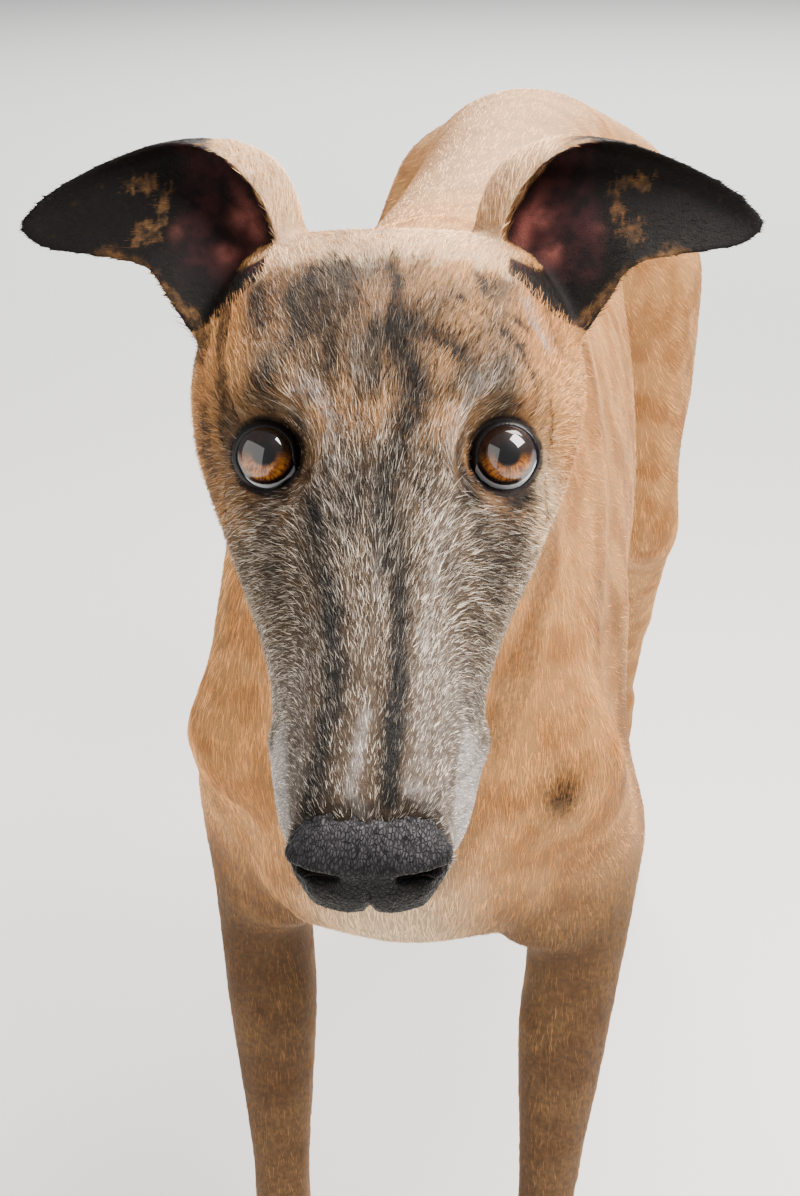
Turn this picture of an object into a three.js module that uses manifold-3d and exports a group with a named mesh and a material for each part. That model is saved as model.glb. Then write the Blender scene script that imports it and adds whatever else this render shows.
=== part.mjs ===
// A greyhound standing still, life size. Millimetres, +Z up, the dog faces -Y and its left side is +X.
import * as THREE from 'three';
import { mergeVertices } from 'three/addons/utils/BufferGeometryUtils.js';
import Module from 'manifold-3d';

const wasm = await Module();
wasm.setup();

// Driving dimensions of the whole dog
const gap = 0.3; // clear space between touching pieces
const sliver = 0.02; // corners nearer to each other than this are one
const trunkSides = 36; // facets round the trunk and the neck
const legSides = 20;
const pawSides = 12;
const toeSides = 8;
const clawSides = 4;
const headSpan = 3; // facets between two feature lines of the head
const neckStart = 0.746; // where the neck begins, as a share of the way from rump to head
const sectionPower = { upper: 2.15, lower: 1.85 }; // how square the trunk's sections are
const sectionMiddle = 0.54; // height of the widest place of a section, as a share of its height

// Body line from the rump to the head: back [y, z], underline [y, z], half width, shift towards the left
const bodyLine = [
  { back: [366, 590], under: [368, 560], half: 16, shift: 0 }, // point of the rump
  { back: [342, 640], under: [352, 546], half: 52, shift: 0 }, // root of the tail
  { back: [292, 680], under: [300, 534], half: 74, shift: 0 }, // croup
  { back: [220, 708], under: [230, 524], half: 78, shift: 0 }, // hips
  { back: [140, 718], under: [150, 519], half: 70, shift: 0 }, // loin
  { back: [40, 712], under: [50, 469], half: 73, shift: 0 }, // tuck of the belly
  { back: [-80, 702], under: [-70, 403], half: 87, shift: 0 }, // ribs
  { back: [-180, 703], under: [-190, 367], half: 93, shift: 0 }, // deepest ribs
  { back: [-250, 712], under: [-290, 375], half: 87, shift: 0 }, // withers and brisket
  { back: [-276, 711], under: [-385, 420], half: 76, shift: 1 }, // between the shoulders
  { back: [-318, 710], under: [-416, 500], half: 66, shift: 4 }, // front of the chest
  { back: [-368, 716], under: [-441, 590], half: 56, shift: 9 }, // middle of the neck
  { back: [-424, 728], under: [-458, 640], half: 50, shift: 14 },
  { back: [-476, 744], under: [-462, 660], half: 47, shift: 18 }, // behind the skull
];

// Muscles and bones that shape the surface: ends, radius at each end, and how softly each blends in.
// Each is given for the left side and repeated on the right. These shape the trunk and the roots of the legs.
const muscles = [
  { from: [42, -262, 664], to: [54, -346, 548], radii: [25, 29], blend: 24 }, // shoulder blade
  { from: [67, -356, 505], to: [82, -292, 428], radii: [31, 28], blend: 20 }, // upper arm
  { from: [62, -264, 530], to: [81, -268, 424], radii: [33, 23], blend: 22 }, // back of the upper arm
  { from: [20, -366, 446], to: [66, -314, 398], radii: [30, 22], blend: 22 }, // breast muscle
  { from: [58, 240, 634], to: [66, 292, 616], radii: [44, 38], blend: 26 }, // rump muscle
  { from: [72, 212, 590], to: [88, 203, 442], radii: [44, 28], blend: 26 }, // front of the thigh
  { from: [72, 300, 592], to: [87, 272, 445], radii: [42, 27], blend: 24 }, // back of the thigh
  { from: [82, 255, 575], to: [85, 242, 490], radii: [42, 35], blend: 20 }, // middle of the thigh
];
const limbs = [
  { from: [81, -287, 397], to: [73, -303, 312], radii: [26, 21.5], blend: 14 }, // forearm muscle
  { from: [73, -303, 312], to: [68, -316, 205], radii: [21, 13], blend: 10 }, // lower forearm
  { from: [80, -256, 404], to: [79, -266, 380], radii: [11, 12], blend: 12 }, // point of the elbow
  { from: [68, -316, 205], to: [68, -319, 150], radii: [12.5, 13.5], blend: 8 },
  { from: [68, -317, 172], to: [68, -320, 158], radii: [16, 15.5], blend: 6 }, // wrist
  { from: [68, -303, 156], to: [68, -305, 148], radii: [8, 7], blend: 8 }, // pad behind the wrist
  { from: [68, -319, 150], to: [68, -334, 36], radii: [13.5, 13.5], blend: 8 }, // pastern
  { from: [89, 200, 412], to: [88, 212, 392], radii: [27, 24], blend: 16 }, // stifle
  { from: [88, 214, 404], to: [80, 325, 275], radii: [27, 17], blend: 16 }, // shank
  { from: [80, 325, 275], to: [73, 381, 185], radii: [16, 12.5], blend: 12 },
  { from: [86, 274, 400], to: [78, 344, 288], radii: [26, 12], blend: 18 }, // calf
  { from: [78, 344, 290], to: [73, 403, 194], radii: [8.5, 7.5], blend: 10 }, // tendon above the heel
  { from: [73, 404, 194], to: [73, 396, 172], radii: [10.5, 12], blend: 8 }, // heel
  { from: [73, 386, 172], to: [72, 388, 150], radii: [15, 13.5], blend: 8 },
  { from: [72, 388, 150], to: [70, 379, 36], radii: [12.5, 12.5], blend: 8 }, // rear pastern
];

// Legs: where each parts from the trunk, and the middle line that its sections are drawn about
const foreLeg = {
  name: 'foreleg', armpit: [41, 396], slope: 50, front: -410, back: -230, slack: 12,
  line: [[480, 97, -298], [455, 92, -294], [420, 84, -290], [395, 80, -286], [312, 74, -303],
    [205, 68, -316], [165, 68, -317], [150, 68, -316], [50, 68, -331]],
  levels: [478, 466, 452, 436, 420, 405, 390, 372, 350, 325, 295, 262, 230, 203, 185, 172, 162, 152,
    142, 125, 95, 50],
  reach: 62,
};
const hindLeg = {
  name: 'hindleg', armpit: [14, 430], slope: 63, front: 128, back: 430, slack: 12,
  line: [[612, 98, 262], [560, 90, 256], [500, 84, 248], [440, 86, 238], [400, 87, 236], [340, 84, 276],
    [280, 80, 325], [225, 76, 362], [185, 73, 389], [150, 72, 388], [50, 70, 380]],
  levels: [612, 596, 578, 556, 532, 508, 484, 460, 438, 418, 400, 380, 358, 334, 308, 280, 254, 230,
    212, 198, 186, 174, 162, 148, 125, 90, 50],
  reach: 125,
};
const innerSlack = 4; // how far the sections reach past the inner cut before it is made
const pawTop = 50; // height where a paw meets its leg
const pawClear = 90; // no paw reaches this far from its middle
const forePaw = { name: 'forepaw', at: [68, -338], top: [68, -331], length: 1, radius: 13.5 };
const hindPaw = { name: 'hindpaw', at: [70, 374], top: [70, 380], length: 0.96, radius: 12.5 };
const toes = [ // for each toe: side, how far forward its tip is, radius
  { side: -21, tip: 21, radius: 9.2 },
  { side: -9.2, tip: 35, radius: 10 },
  { side: 9.2, tip: 35, radius: 10 },
  { side: 21, tip: 21, radius: 9.2 },
];
// Rows along a toe and along its claw: share of the toe's side, how far behind the tip, height,
// and share of the toe's radius
const toeRows = [
  [0.5, 42, 30, 0.8], [0.68, 32, 33, 1], [0.86, 22, 31, 1.04], [0.98, 8, 17, 1.08], [1.01, -1, 10.8, 0.98],
  [1.01, -6, 10.2, 0.6],
];
const clawRows = [[1, 2, 15, 0.36], [1.01, -8, 14.2, 0.32], [1.01, -16, 6.5, 0.13]];
const pad = { half: 9.5, back: 6, up: 11, radius: 14 };
const instep = { back: 3, up: 27, radius: 15.5 };
const pawLevels = [41, 32, 23, 14, 6, 0];

// Tail: middle line [y, z] and radius
const tailLine = [
  [318, 640, 22], [346, 622, 19], [368, 585, 15.5], [384, 535, 13.5], [394, 470, 12], [398, 400, 10.5],
  [400, 330, 9], [406, 262, 7.5], [420, 205, 6], [440, 160, 4.2],
];
const tailSplit = 0.5;
const tailSides = 11;
const tailSteps = 28;

// Head: placed at the middle between the eyes, turned a little to the left, muzzle down
const headPlace = { at: [30.5, -569.5, 707], yaw: 7.55, pitch: 26.2, roll: -0.55 };
// Feature lines of the head from the back to the front: [forward, side, up]
const headLines = {
  crown: [[-108, 0, -14], [-95, 0, -3], [-80, 0, 13.5], [-66, 0, 25], [-50, 0, 31], [-30, 0, 30], [-8, 0, 25],
    [15, 0, 18.5], [40, 0, 12.5], [70, 0, 7.5], [100, 0, 3.2], [118, 0, 0], [128, 0, -5]],
  crest: [[-108, 24, -16], [-95, 28, -4], [-80, 32, 11], [-66, 34, 21], [-50, 34, 26], [-30, 32, 25],
    [-8, 26, 21.5],
    [8, 18, 17], [25, 14, 13], [40, 12, 10.3], [70, 10.5, 5.8], [100, 11, 1.6], [118, 12, -1.6],
    [128, 11, -6]],
  temple: [[-108, 40, -26], [-95, 44, -12], [-80, 48, 1], [-55, 51, 9], [-30, 47.5, 12], [-12, 40.5, 14.5],
    [0, 34, 12.5], [8, 28.5, 9], [16, 24.5, 6.5], [25, 22, 5.5], [45, 19, 2.5], [70, 17.5, -1.5],
    [100, 18, -5.5],
    [118, 18, -8], [128, 16, -10]],
  cheek: [[-108, 46, -42], [-95, 50, -28], [-80, 55, -16], [-55, 59, -9], [-38, 60, -9], [-15, 57, -12],
    [8, 48.5, -19],
    [25, 42.3, -20], [45, 34.5, -19], [70, 27.3, -18], [93, 25, -18.5], [110, 22.5, -19], [128, 17, -20]],
  lip: [[-108, 43, -58], [-82, 52, -42], [-55, 54, -38], [-30, 51, -38], [-5, 45.5, -38.5], [20, 39, -38],
    [45, 32.8, -35], [70, 28.3, -33.5], [93, 27.3, -32.5], [110, 24, -31], [120, 19, -30], [128, 12, -28]],
  mouth: [[-108, 36, -66], [-82, 42, -62], [-55, 43, -62], [-30, 38, -58], [0, 31, -50.5], [30, 26, -44.5],
    [55, 24.5, -42], [75, 23.5, -41], [95, 22, -39.5], [110, 18.5, -37.5], [120, 13, -36], [128, 8, -32]],
  jaw: [[-108, 22, -80], [-82, 26, -80], [-55, 27, -76], [-30, 24, -68.5], [0, 20.5, -61], [30, 18, -55],
    [60, 17, -51], [90, 15.5, -48.5], [108, 13, -45.5], [118, 8, -41], [128, 5, -34]],
  chin: [[-108, 0, -86], [-82, 0, -86], [-55, 0, -81], [-30, 0, -72.5], [0, 0, -64.5], [30, 0, -58.5],
    [60, 0, -54], [90, 0, -51], [108, 0, -47.5], [118, 0, -43], [128, 0, -36.5]],
};
const headStations = [-108, -99, -89, -78, -67, -56, -46, -37, -28, -19, -11, -4, 3, 10, 17, 25, 34, 44, 55, 66,
  77, 88, 97, 105, 111, 116, 120, 124, 128];
const headTilt = { back: 0.29, until: -30 }; // the rings lean back to meet the neck
const neckBlend = 40; // how far forward the neck's section fades into the skull

// Eyes, their lids and the mouth
const eye = { at: [-0.4, 32.2, -4.4], radius: 11.3, facing: [0.74, 0.3, 0.7], open: [9.7, 10.4], lid: 1.7 };
const mouthCorner = [33, -44.5];
const mouthLine = [mouthCorner, [55, -42], [75, -41], [95, -39.5], [110, -37.6], [118, -36.6], [140, -34]];
const nose = {
  at: [123.5, 0, -19],
  size: [15.5, 20.8, 16],
  wing: { at: [6, 12, 1], radius: 8.4, blend: 4 },
  around: 20,
  high: 10,
};
const noseReach = 40; // no part of the nose is farther from its middle
const nostrilForm = { at: [139, 10.2, -20.5], half: [5.2, 6.5, 3.4] };

// Ears: the inner upper edge, the outer lower edge and the deepest line of the cup, from the root to the tip
const ear = {
  thickness: 2.6,
  inner: [[-50, 31, 12], [-64, 34, 25], [-74, 40, 34], [-83, 52, 40.5], [-88, 66, 41.5], [-88, 88, 34],
    [-84, 107, 25],
    [-80, 115.5, 17]],
  outer: [[-40, 50, -4], [-47, 60, 0], [-56, 67.5, 7], [-64, 74, 13], [-68, 86, 13.6], [-71, 97, 13],
    [-75, 109, 13],
    [-80, 115.5, 16]],
  hollow: [[-70, 27, 2], [-84, 30, 13], [-95, 36.5, 23], [-99, 49, 28.5], [-95, 66, 29], [-89, 86, 25],
    [-84, 103, 19.5],
    [-80, 115.5, 16.5]],
  across: 7,
  along: 16,
};

const palette = {
  coat: ['#b98a5e', 0.85], greyFace: ['#7d726c', 0.85], earDark: ['#2a1d1a', 0.8], leather: ['#1d1d20', 0.5],
  eye: ['#a85a14', 0.1],
};

// Number helpers
const clamp = (v, lo, hi) => Math.min(hi, Math.max(lo, v));
const smooth = (v) => { const t = clamp(v, 0, 1); return t * t * (3 - 2 * t); };
const mix = (a, b, t) => a + (b - a) * t;
const softMin = (a, b, k) => {
  const h = clamp(0.5 + (0.5 * (b - a)) / k, 0, 1);
  return mix(b, a, h) - k * h * (1 - h);
};

// A smooth function through [key, value...] rows whose keys rise, flat where the rows turn
function track(rows) {
  const keys = rows.map((row) => row[0]);
  const width = rows[0].length - 1;
  const slopes = rows.map((row, i) => {
    if (i === 0 || i === rows.length - 1) return new Array(width).fill(null);
    return row.slice(1).map((value, c) => {
      const before = (value - rows[i - 1][c + 1]) / (keys[i] - keys[i - 1]);
      const after = (rows[i + 1][c + 1] - value) / (keys[i + 1] - keys[i]);
      return before * after <= 0 ? 0 : (2 * before * after) / (before + after);
    });
  });
  for (const [end, next] of [[0, 1], [rows.length - 1, rows.length - 2]]) {
    slopes[end] = rows[end].slice(1).map((value, c) => (
      (rows[next][c + 1] - value) / (keys[next] - keys[end])));
  }
  return (key) => {
    let i = 0;
    while (i < rows.length - 2 && key > keys[i + 1]) i += 1;
    const span = keys[i + 1] - keys[i];
    const t = clamp((key - keys[i]) / span, 0, 1);
    const t2 = t * t;
    const t3 = t2 * t;
    return rows[i].slice(1).map((value, c) => (
      (2 * t3 - 3 * t2 + 1) * value + (t3 - 2 * t2 + t) * span * slopes[i][c]
      + (3 * t2 - 2 * t3) * rows[i + 1][c + 1] + (t3 - t2) * span * slopes[i + 1][c]));
  };
}

// The body line as one smooth function of the way along, 0 at the rump and 1 behind the skull
const bodyAt = track(bodyLine.map(({ back, under, half, shift }, i) => (
  [i / (bodyLine.length - 1), ...back, ...under, half, shift])));

function sectionFrame(t) {
  const [backY, backZ, underY, underZ, half, shift] = bodyAt(t);
  const height = Math.hypot(backY - underY, backZ - underZ);
  const up = [(backY - underY) / height, (backZ - underZ) / height];
  const middle = [mix(underY, backY, sectionMiddle), mix(underZ, backZ, sectionMiddle)];
  return { up, middle, half, shift, above: height * (1 - sectionMiddle), below: height * sectionMiddle };
}

const sideOfSection = ({ middle, up }, y, z) => (y - middle[0]) * up[1] - (z - middle[1]) * up[0];

function sectionDistance(frame, x, y, z) {
  const rise = (y - frame.middle[0]) * frame.up[0] + (z - frame.middle[1]) * frame.up[1];
  const side = Math.abs(x - frame.shift);
  const power = rise > 0 ? sectionPower.upper : sectionPower.lower;
  const height = rise > 0 ? frame.above : frame.below;
  const size = ((side / frame.half) ** power + (Math.abs(rise) / height) ** power) ** (1 / power);
  return Math.hypot(side, rise) * (1 - 1 / Math.max(size, 1e-6));
}

const coarseFrames = bodyLine.map((_, i) => sectionFrame(i / (bodyLine.length - 1)));

function trunkDistance(x, y, z) {
  const last = coarseFrames.length - 1;
  if (sideOfSection(coarseFrames[0], y, z) > 0) {
    return Math.max(sectionDistance(coarseFrames[0], x, y, z), sideOfSection(coarseFrames[0], y, z));
  }
  let i = 0;
  while (i < last && sideOfSection(coarseFrames[i + 1], y, z) < 0) i += 1;
  if (i === last) return Math.max(sectionDistance(coarseFrames[last], x, y, z), 0);
  let low = i / last;
  let high = (i + 1) / last;
  for (let n = 0; n < 9; n += 1) {
    const between = (low + high) / 2;
    if (sideOfSection(sectionFrame(between), y, z) < 0) low = between; else high = between;
  }
  return sectionDistance(sectionFrame((low + high) / 2), x, y, z);
}

// Distance to a rod with round ends and a radius that changes along it
function rodDistance(p, from, to, radii) {
  const axis = to.map((v, i) => v - from[i]);
  const length2 = axis.reduce((sum, v) => sum + v * v, 0);
  const t = clamp(axis.reduce((sum, v, i) => sum + v * (p[i] - from[i]), 0) / length2, 0, 1);
  return Math.hypot(...from.map((v, i) => p[i] - v - axis[i] * t)) - mix(radii[0], radii[1], t);
}

function blended(distance, rods, p) {
  const mirrored = [Math.abs(p[0]), p[1], p[2]];
  return rods.reduce((sum, { from, to, radii, blend }) => (
    softMin(sum, rodDistance(mirrored, from, to, radii), blend)), distance);
}

// Distance to the surface of the trunk and neck, and of the whole body with its legs, negative inside
const fleshDistance = (p) => blended(trunkDistance(...p), muscles, p);
const bodyDistance = (p) => blended(fleshDistance(p), limbs, p);

// The point where a ray from inside first leaves a shape, looked for from the outside in
function surfacePoint(distance, from, direction, reach) {
  const at = (d) => from.map((v, i) => v + direction[i] * d);
  const step = reach / 60;
  let outside = reach;
  while (outside > step && distance(at(outside - step)) > 0) outside -= step;
  let inside = Math.max(outside - step, 0);
  for (let n = 0; n < 18; n += 1) {
    const between = (inside + outside) / 2;
    if (distance(at(between)) > 0) outside = between; else inside = between;
  }
  return at((inside + outside) / 2);
}

// Joins rings of points, all with the same count, to one closed surface with a point or a flat at each end
function closeRings(rings, ends) {
  const count = rings[0].length;
  const points = rings.flat();
  const middle = (ring) => [0, 1, 2].map((i) => ring.reduce((sum, p) => sum + p[i], 0) / count);
  const first = points.push(ends?.first ?? middle(rings[0])) - 1;
  const last = points.push(ends?.last ?? middle(rings[rings.length - 1])) - 1;
  const faces = [];
  for (let k = 0; k < count; k += 1) {
    const next = (k + 1) % count;
    faces.push(first, next, k);
    for (let r = 0; r < rings.length - 1; r += 1) {
      const a = r * count;
      const b = a + count;
      faces.push(a + k, a + next, b + k, a + next, b + next, b + k);
    }
    const top = (rings.length - 1) * count;
    faces.push(last, top + k, top + next);
  }
  return { points, faces };
}

// Solids: a closed surface becomes one that can be joined and cut
function solid({ points, faces }) {
  const build = (order) => new wasm.Manifold(new wasm.Mesh({
    numProp: 3, vertProperties: new Float32Array(points.flat()), triVerts: new Uint32Array(order),
  }));
  const made = build(faces);
  if (made.volume() > 0) return made;
  const turned = [];
  for (let i = 0; i < faces.length; i += 3) turned.push(faces[i], faces[i + 2], faces[i + 1]);
  return build(turned);
}

function solidOf(geometry) {
  const bare = geometry.clone();
  bare.deleteAttribute('normal');
  bare.deleteAttribute('uv');
  const merged = mergeVertices(bare, 1e-4);
  const position = merged.getAttribute('position');
  const points = Array.from({ length: position.count }, (_, i) => (
    [position.getX(i), position.getY(i), position.getZ(i)]));
  return solid({ points, faces: Array.from(merged.index.array) });
}

const largest = (shape) => shape.decompose().sort((a, b) => b.volume() - a.volume())[0];

function geometryOf(shape) {
  const { numProp, vertProperties, triVerts } = shape.getMesh();
  const geometry = new THREE.BufferGeometry();
  const position = new Float32Array((vertProperties.length / numProp) * 3);
  for (let i = 0; i < position.length / 3; i += 1) {
    position.set(vertProperties.subarray(i * numProp, i * numProp + 3), i * 3);
  }
  geometry.setAttribute('position', new THREE.BufferAttribute(position, 3));
  geometry.setIndex(Array.from(triVerts));
  const merged = mergeVertices(geometry, sliver); // corners closer than this become one
  const kept = [];
  const order = merged.index.array;
  for (let i = 0; i < order.length; i += 3) {
    const [a, b, c] = [order[i], order[i + 1], order[i + 2]];
    if (a !== b && b !== c && c !== a) kept.push(a, b, c);
  }
  merged.setIndex(kept);
  merged.computeVertexNormals();
  return merged;
}

// A surface moved outward by a small amount along its normals, used as a cutter that leaves a gap
function swollen({ points, faces }, amount) {
  const geometry = new THREE.BufferGeometry();
  geometry.setAttribute('position', new THREE.BufferAttribute(new Float32Array(points.flat()), 3));
  geometry.setIndex(faces);
  geometry.computeVertexNormals();
  const normal = geometry.getAttribute('normal');
  const sign = solidVolume({ points, faces }) > 0 ? 1 : -1;
  const moved = points.map((p, i) => [
    p[0] + sign * amount * normal.getX(i),
    p[1] + sign * amount * normal.getY(i),
    p[2] + sign * amount * normal.getZ(i),
  ]);
  return { points: moved, faces };
}

function solidVolume({ points, faces }) {
  let sum = 0;
  for (let i = 0; i < faces.length; i += 3) {
    const [a, b, c] = [points[faces[i]], points[faces[i + 1]], points[faces[i + 2]]];
    const cross = [b[1] * c[2] - b[2] * c[1], b[2] * c[0] - b[0] * c[2], b[0] * c[1] - b[1] * c[0]];
    sum += a[0] * cross[0] + a[1] * cross[1] + a[2] * cross[2];
  }
  return sum / 6;
}

// A prism with an outline in one plane: 'xz' runs along y, 'yz' runs along x
function prism(outline, plane, low, high) {
  const at = (a, b, c) => (plane === 'xz' ? [a, c, b] : [c, a, b]);
  return solid(closeRings([low, high].map((c) => outline.map(([a, b]) => at(a, b, c)))));
}

const root = new THREE.Group();
const dog = new THREE.Group();
root.add(dog);

function addNode(parent, name, shape, look) {
  const [color, roughness] = palette[look];
  const material = new THREE.MeshStandardMaterial({ color, roughness, metalness: 0 });
  const mesh = new THREE.Mesh(geometryOf(shape), material);
  mesh.name = name;
  parent.add(mesh);
}

const mirrorX = (shape, side) => (side > 0 ? shape : shape.mirror([1, 0, 0]));
const sides = [['left', 1], ['right', -1]];

// The wedge of space that belongs to a leg, seen from the front, drawn back or forward by half the gap
function legSpace({ armpit, slope, front, back }, inset) {
  const [x, z] = armpit;
  const tilt = THREE.MathUtils.degToRad(slope);
  const reach = 260;
  const low = -20;
  const corner = [x + inset, z + (inset * Math.sin(tilt) - inset) / Math.cos(tilt)];
  const high = [corner[0] + reach * Math.cos(tilt), corner[1] + reach * Math.sin(tilt)];
  return prism([corner, [corner[0], low], [high[0], low], high], 'xz', front + inset, back - inset);
}

// How far a point lies beyond a leg's cut, towards the trunk
function beyondCut({ armpit, slope }, x, z) {
  const tilt = THREE.MathUtils.degToRad(slope);
  return -((x - armpit[0]) * Math.sin(tilt) - (z - armpit[1]) * Math.cos(tilt));
}

// Trunk and neck: sections drawn about the body line
function trunkRing(t, distance) {
  const frame = sectionFrame(t);
  const centre = [frame.shift, ...frame.middle];
  return Array.from({ length: trunkSides }, (_, k) => {
    const angle = (k / trunkSides) * Math.PI * 2;
    const direction = [Math.sin(angle), Math.cos(angle) * frame.up[0], Math.cos(angle) * frame.up[1]];
    return surfacePoint(distance, centre, direction, 260);
  });
}

const trunkSteps = [0.0, 0.012, 0.03, 0.06, 0.09, 0.12, 0.15, 0.18, 0.21, 0.24, 0.27, 0.305, 0.345, 0.385,
  0.42, 0.455, 0.49, 0.517, 0.542, 0.565, 0.588, 0.611, 0.634, 0.658, 0.682, 0.705, 0.726, neckStart];
const neckSteps = [neckStart, 0.775, 0.805, 0.835, 0.865, 0.9, 0.935, 0.97, 1];

function trunk() {
  let shape = solid(closeRings(trunkSteps.map((t) => trunkRing(t, fleshDistance))));
  for (const leg of [foreLeg, hindLeg]) {
    for (const [, side] of sides) shape = shape.subtract(mirrorX(legSpace(leg, -gap / 2), side));
  }
  return largest(shape.subtract(solid(swollen(tailSurface(0, tailSplit, 0), gap))));
}

function shiftAlongNeck(ring, t, amount) {
  const { up } = sectionFrame(t);
  return ring.map(([x, y, z]) => [x, y - up[1] * amount, z + up[0] * amount]);
}

const neckRings = neckSteps.map((t) => trunkRing(t, bodyDistance));
neckRings[0] = shiftAlongNeck(neckRings[0], neckStart, gap);

// Legs: level sections drawn about each leg's middle line
function legShape(leg) {
  const lineAt = track([...leg.line].reverse());
  const inner = leg.armpit[0] - innerSlack;
  const distance = (p) => Math.max(bodyDistance(p), beyondCut(leg, p[0], p[2]) - leg.slack, inner - p[0]);
  const rings = leg.levels.map((z) => {
    const centre = [...lineAt(z), z];
    return Array.from({ length: legSides }, (_, k) => {
      const angle = (k / legSides) * Math.PI * 2;
      return surfacePoint(distance, centre, [Math.cos(angle), Math.sin(angle), 0], leg.reach);
    });
  });
  return largest(solid(closeRings(rings)).intersect(legSpace(leg, gap / 2)));
}

// Round sections along a bent line in the dog's own length: rows of [x, y, z, radius]
function bentRod(rows, count) {
  const middle = rows.map((row) => new THREE.Vector3(row[0], row[1], row[2]));
  const last = rows.length - 1;
  const rings = rows.map(([, , , radius], i) => {
    const along = middle[Math.min(i + 1, last)].clone().sub(middle[Math.max(i - 1, 0)]).normalize();
    const sideways = new THREE.Vector3(1, 0, 0).addScaledVector(along, -along.x).normalize();
    const upward = new THREE.Vector3().crossVectors(along, sideways);
    return Array.from({ length: count }, (_, k) => {
      const angle = (k / count) * Math.PI * 2;
      return middle[i].clone().addScaledVector(sideways, Math.cos(angle) * radius)
        .addScaledVector(upward, Math.sin(angle) * radius).toArray();
    });
  });
  const beyond = middle[last].clone().sub(middle[last - 1]).setLength(rows[last][3] * 0.5).add(middle[last]);
  return closeRings(rings, { last: beyond.toArray() });
}

// A paw: four toes with their claws over a pad, cut level where they stand on the floor
function pawShape(paw) {
  const [x, y] = paw.at;
  const place = (side, forward, up) => [x + side, y - forward * paw.length, up];
  const rods = [
    { from: [...paw.top, pawTop + paw.radius], to: place(0, -instep.back, instep.up),
      radii: [paw.radius, instep.radius] },
    { from: place(-pad.half, -pad.back, pad.up), to: place(pad.half, -pad.back, pad.up),
      radii: [pad.radius, pad.radius] },
  ];
  const distance = (p) => {
    const [leg, sole] = rods.map(({ from, to, radii }) => rodDistance(p, from, to, radii));
    return softMin(leg, sole, 8);
  };
  const rings = [pawTop - gap, ...pawLevels].map((z) => {
    const lean = smooth((pawTop - z) / pawTop);
    const centre = [mix(paw.top[0], x, lean), mix(paw.top[1], y + pad.back, lean), z];
    return Array.from({ length: pawSides }, (_, k) => {
      const angle = (k / pawSides) * Math.PI * 2;
      return surfacePoint(distance, centre, [Math.cos(angle), Math.sin(angle), 0], 70);
    });
  });
  let shape = solid(closeRings(rings));
  for (const { side, tip, radius } of toes) {
    for (const [rows, count] of [[toeRows, toeSides], [clawRows, clawSides]]) {
      const bent = rows.map(([share, behind, up, size]) => (
        [...place(side * share, tip - behind, up), radius * size]));
      shape = shape.add(solid(bentRod(bent, count)));
    }
  }
  const slab = (low, high) => prism(
    [[x - pawClear, low], [x + pawClear, low], [x + pawClear, high],
    [x - pawClear, high]], 'xz', y - pawClear, y + pawClear,
  );
  return largest(shape.subtract(slab(-pawTop, 0)).subtract(slab(pawTop - gap, 2 * pawTop)));
}

// Tail: round sections that hang in a long curve behind the legs
function tailSurface(fromShare, toShare, startGap) {
  const path = new THREE.CatmullRomCurve3(tailLine.map(([y, z]) => new THREE.Vector3(0, y, z)));
  const radiusAt = track(tailLine.map(([, , radius], i) => [i / (tailLine.length - 1), radius]));
  const steps = Math.round(tailSteps * (toShare - fromShare));
  const rings = Array.from({ length: steps + 1 }, (_, i) => {
    const t = mix(fromShare, toShare, i / steps);
    const middle = path.getPoint(t);
    const along = path.getTangent(t);
    if (i === 0) middle.addScaledVector(along, startGap);
    const [radius] = radiusAt(t);
    return Array.from({ length: tailSides }, (_unused, k) => {
      const angle = (k / tailSides) * Math.PI * 2;
      const across = Math.sin(angle) * radius;
      return [Math.cos(angle) * radius, middle.y - along.z * across, middle.z + along.y * across];
    });
  });
  const end = path.getPoint(toShare);
  const tip = path.getTangent(toShare).multiplyScalar(toShare === 1 ? 5 : 0).add(end);
  return closeRings(rings, { last: [0, tip.y, tip.z] });
}

// Head: points [forward, side, up] in a frame of its own, where forward is -y
const headPoint = ([forward, side, up]) => [side, -forward, up];
const headGroup = new THREE.Group();
headGroup.position.set(...headPlace.at);
headGroup.rotation.order = 'ZXY';
headGroup.rotation.set(...['pitch', 'roll', 'yaw'].map((k) => THREE.MathUtils.degToRad(headPlace[k])));
headGroup.updateMatrixWorld(true);
dog.add(headGroup);
const intoHead = headGroup.matrixWorld.clone().invert();
const toHead = (p) => new THREE.Vector3(...p).applyMatrix4(intoHead).toArray();
const toBody = (p) => new THREE.Vector3(...p).applyMatrix4(headGroup.matrixWorld).toArray();

function featureRing(lines, station) {
  const lean = headTilt.back * smooth((headTilt.until - station) / (headTilt.until - headStations[0]));
  const half = Object.values(lines).map((line) => {
    const [side, up] = line(station);
    return headPoint([station + lean * (14 - up), side, up]);
  });
  const other = half.slice(1, -1).reverse().map(([x, y, z]) => [-x, y, z]);
  const loop = [...half, ...other].map((p) => new THREE.Vector3(...p));
  const curve = new THREE.CatmullRomCurve3(loop, true, 'centripetal');
  const count = loop.length * headSpan;
  return Array.from({ length: count }, (_, k) => curve.getPoint(k / count).toArray());
}

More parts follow.
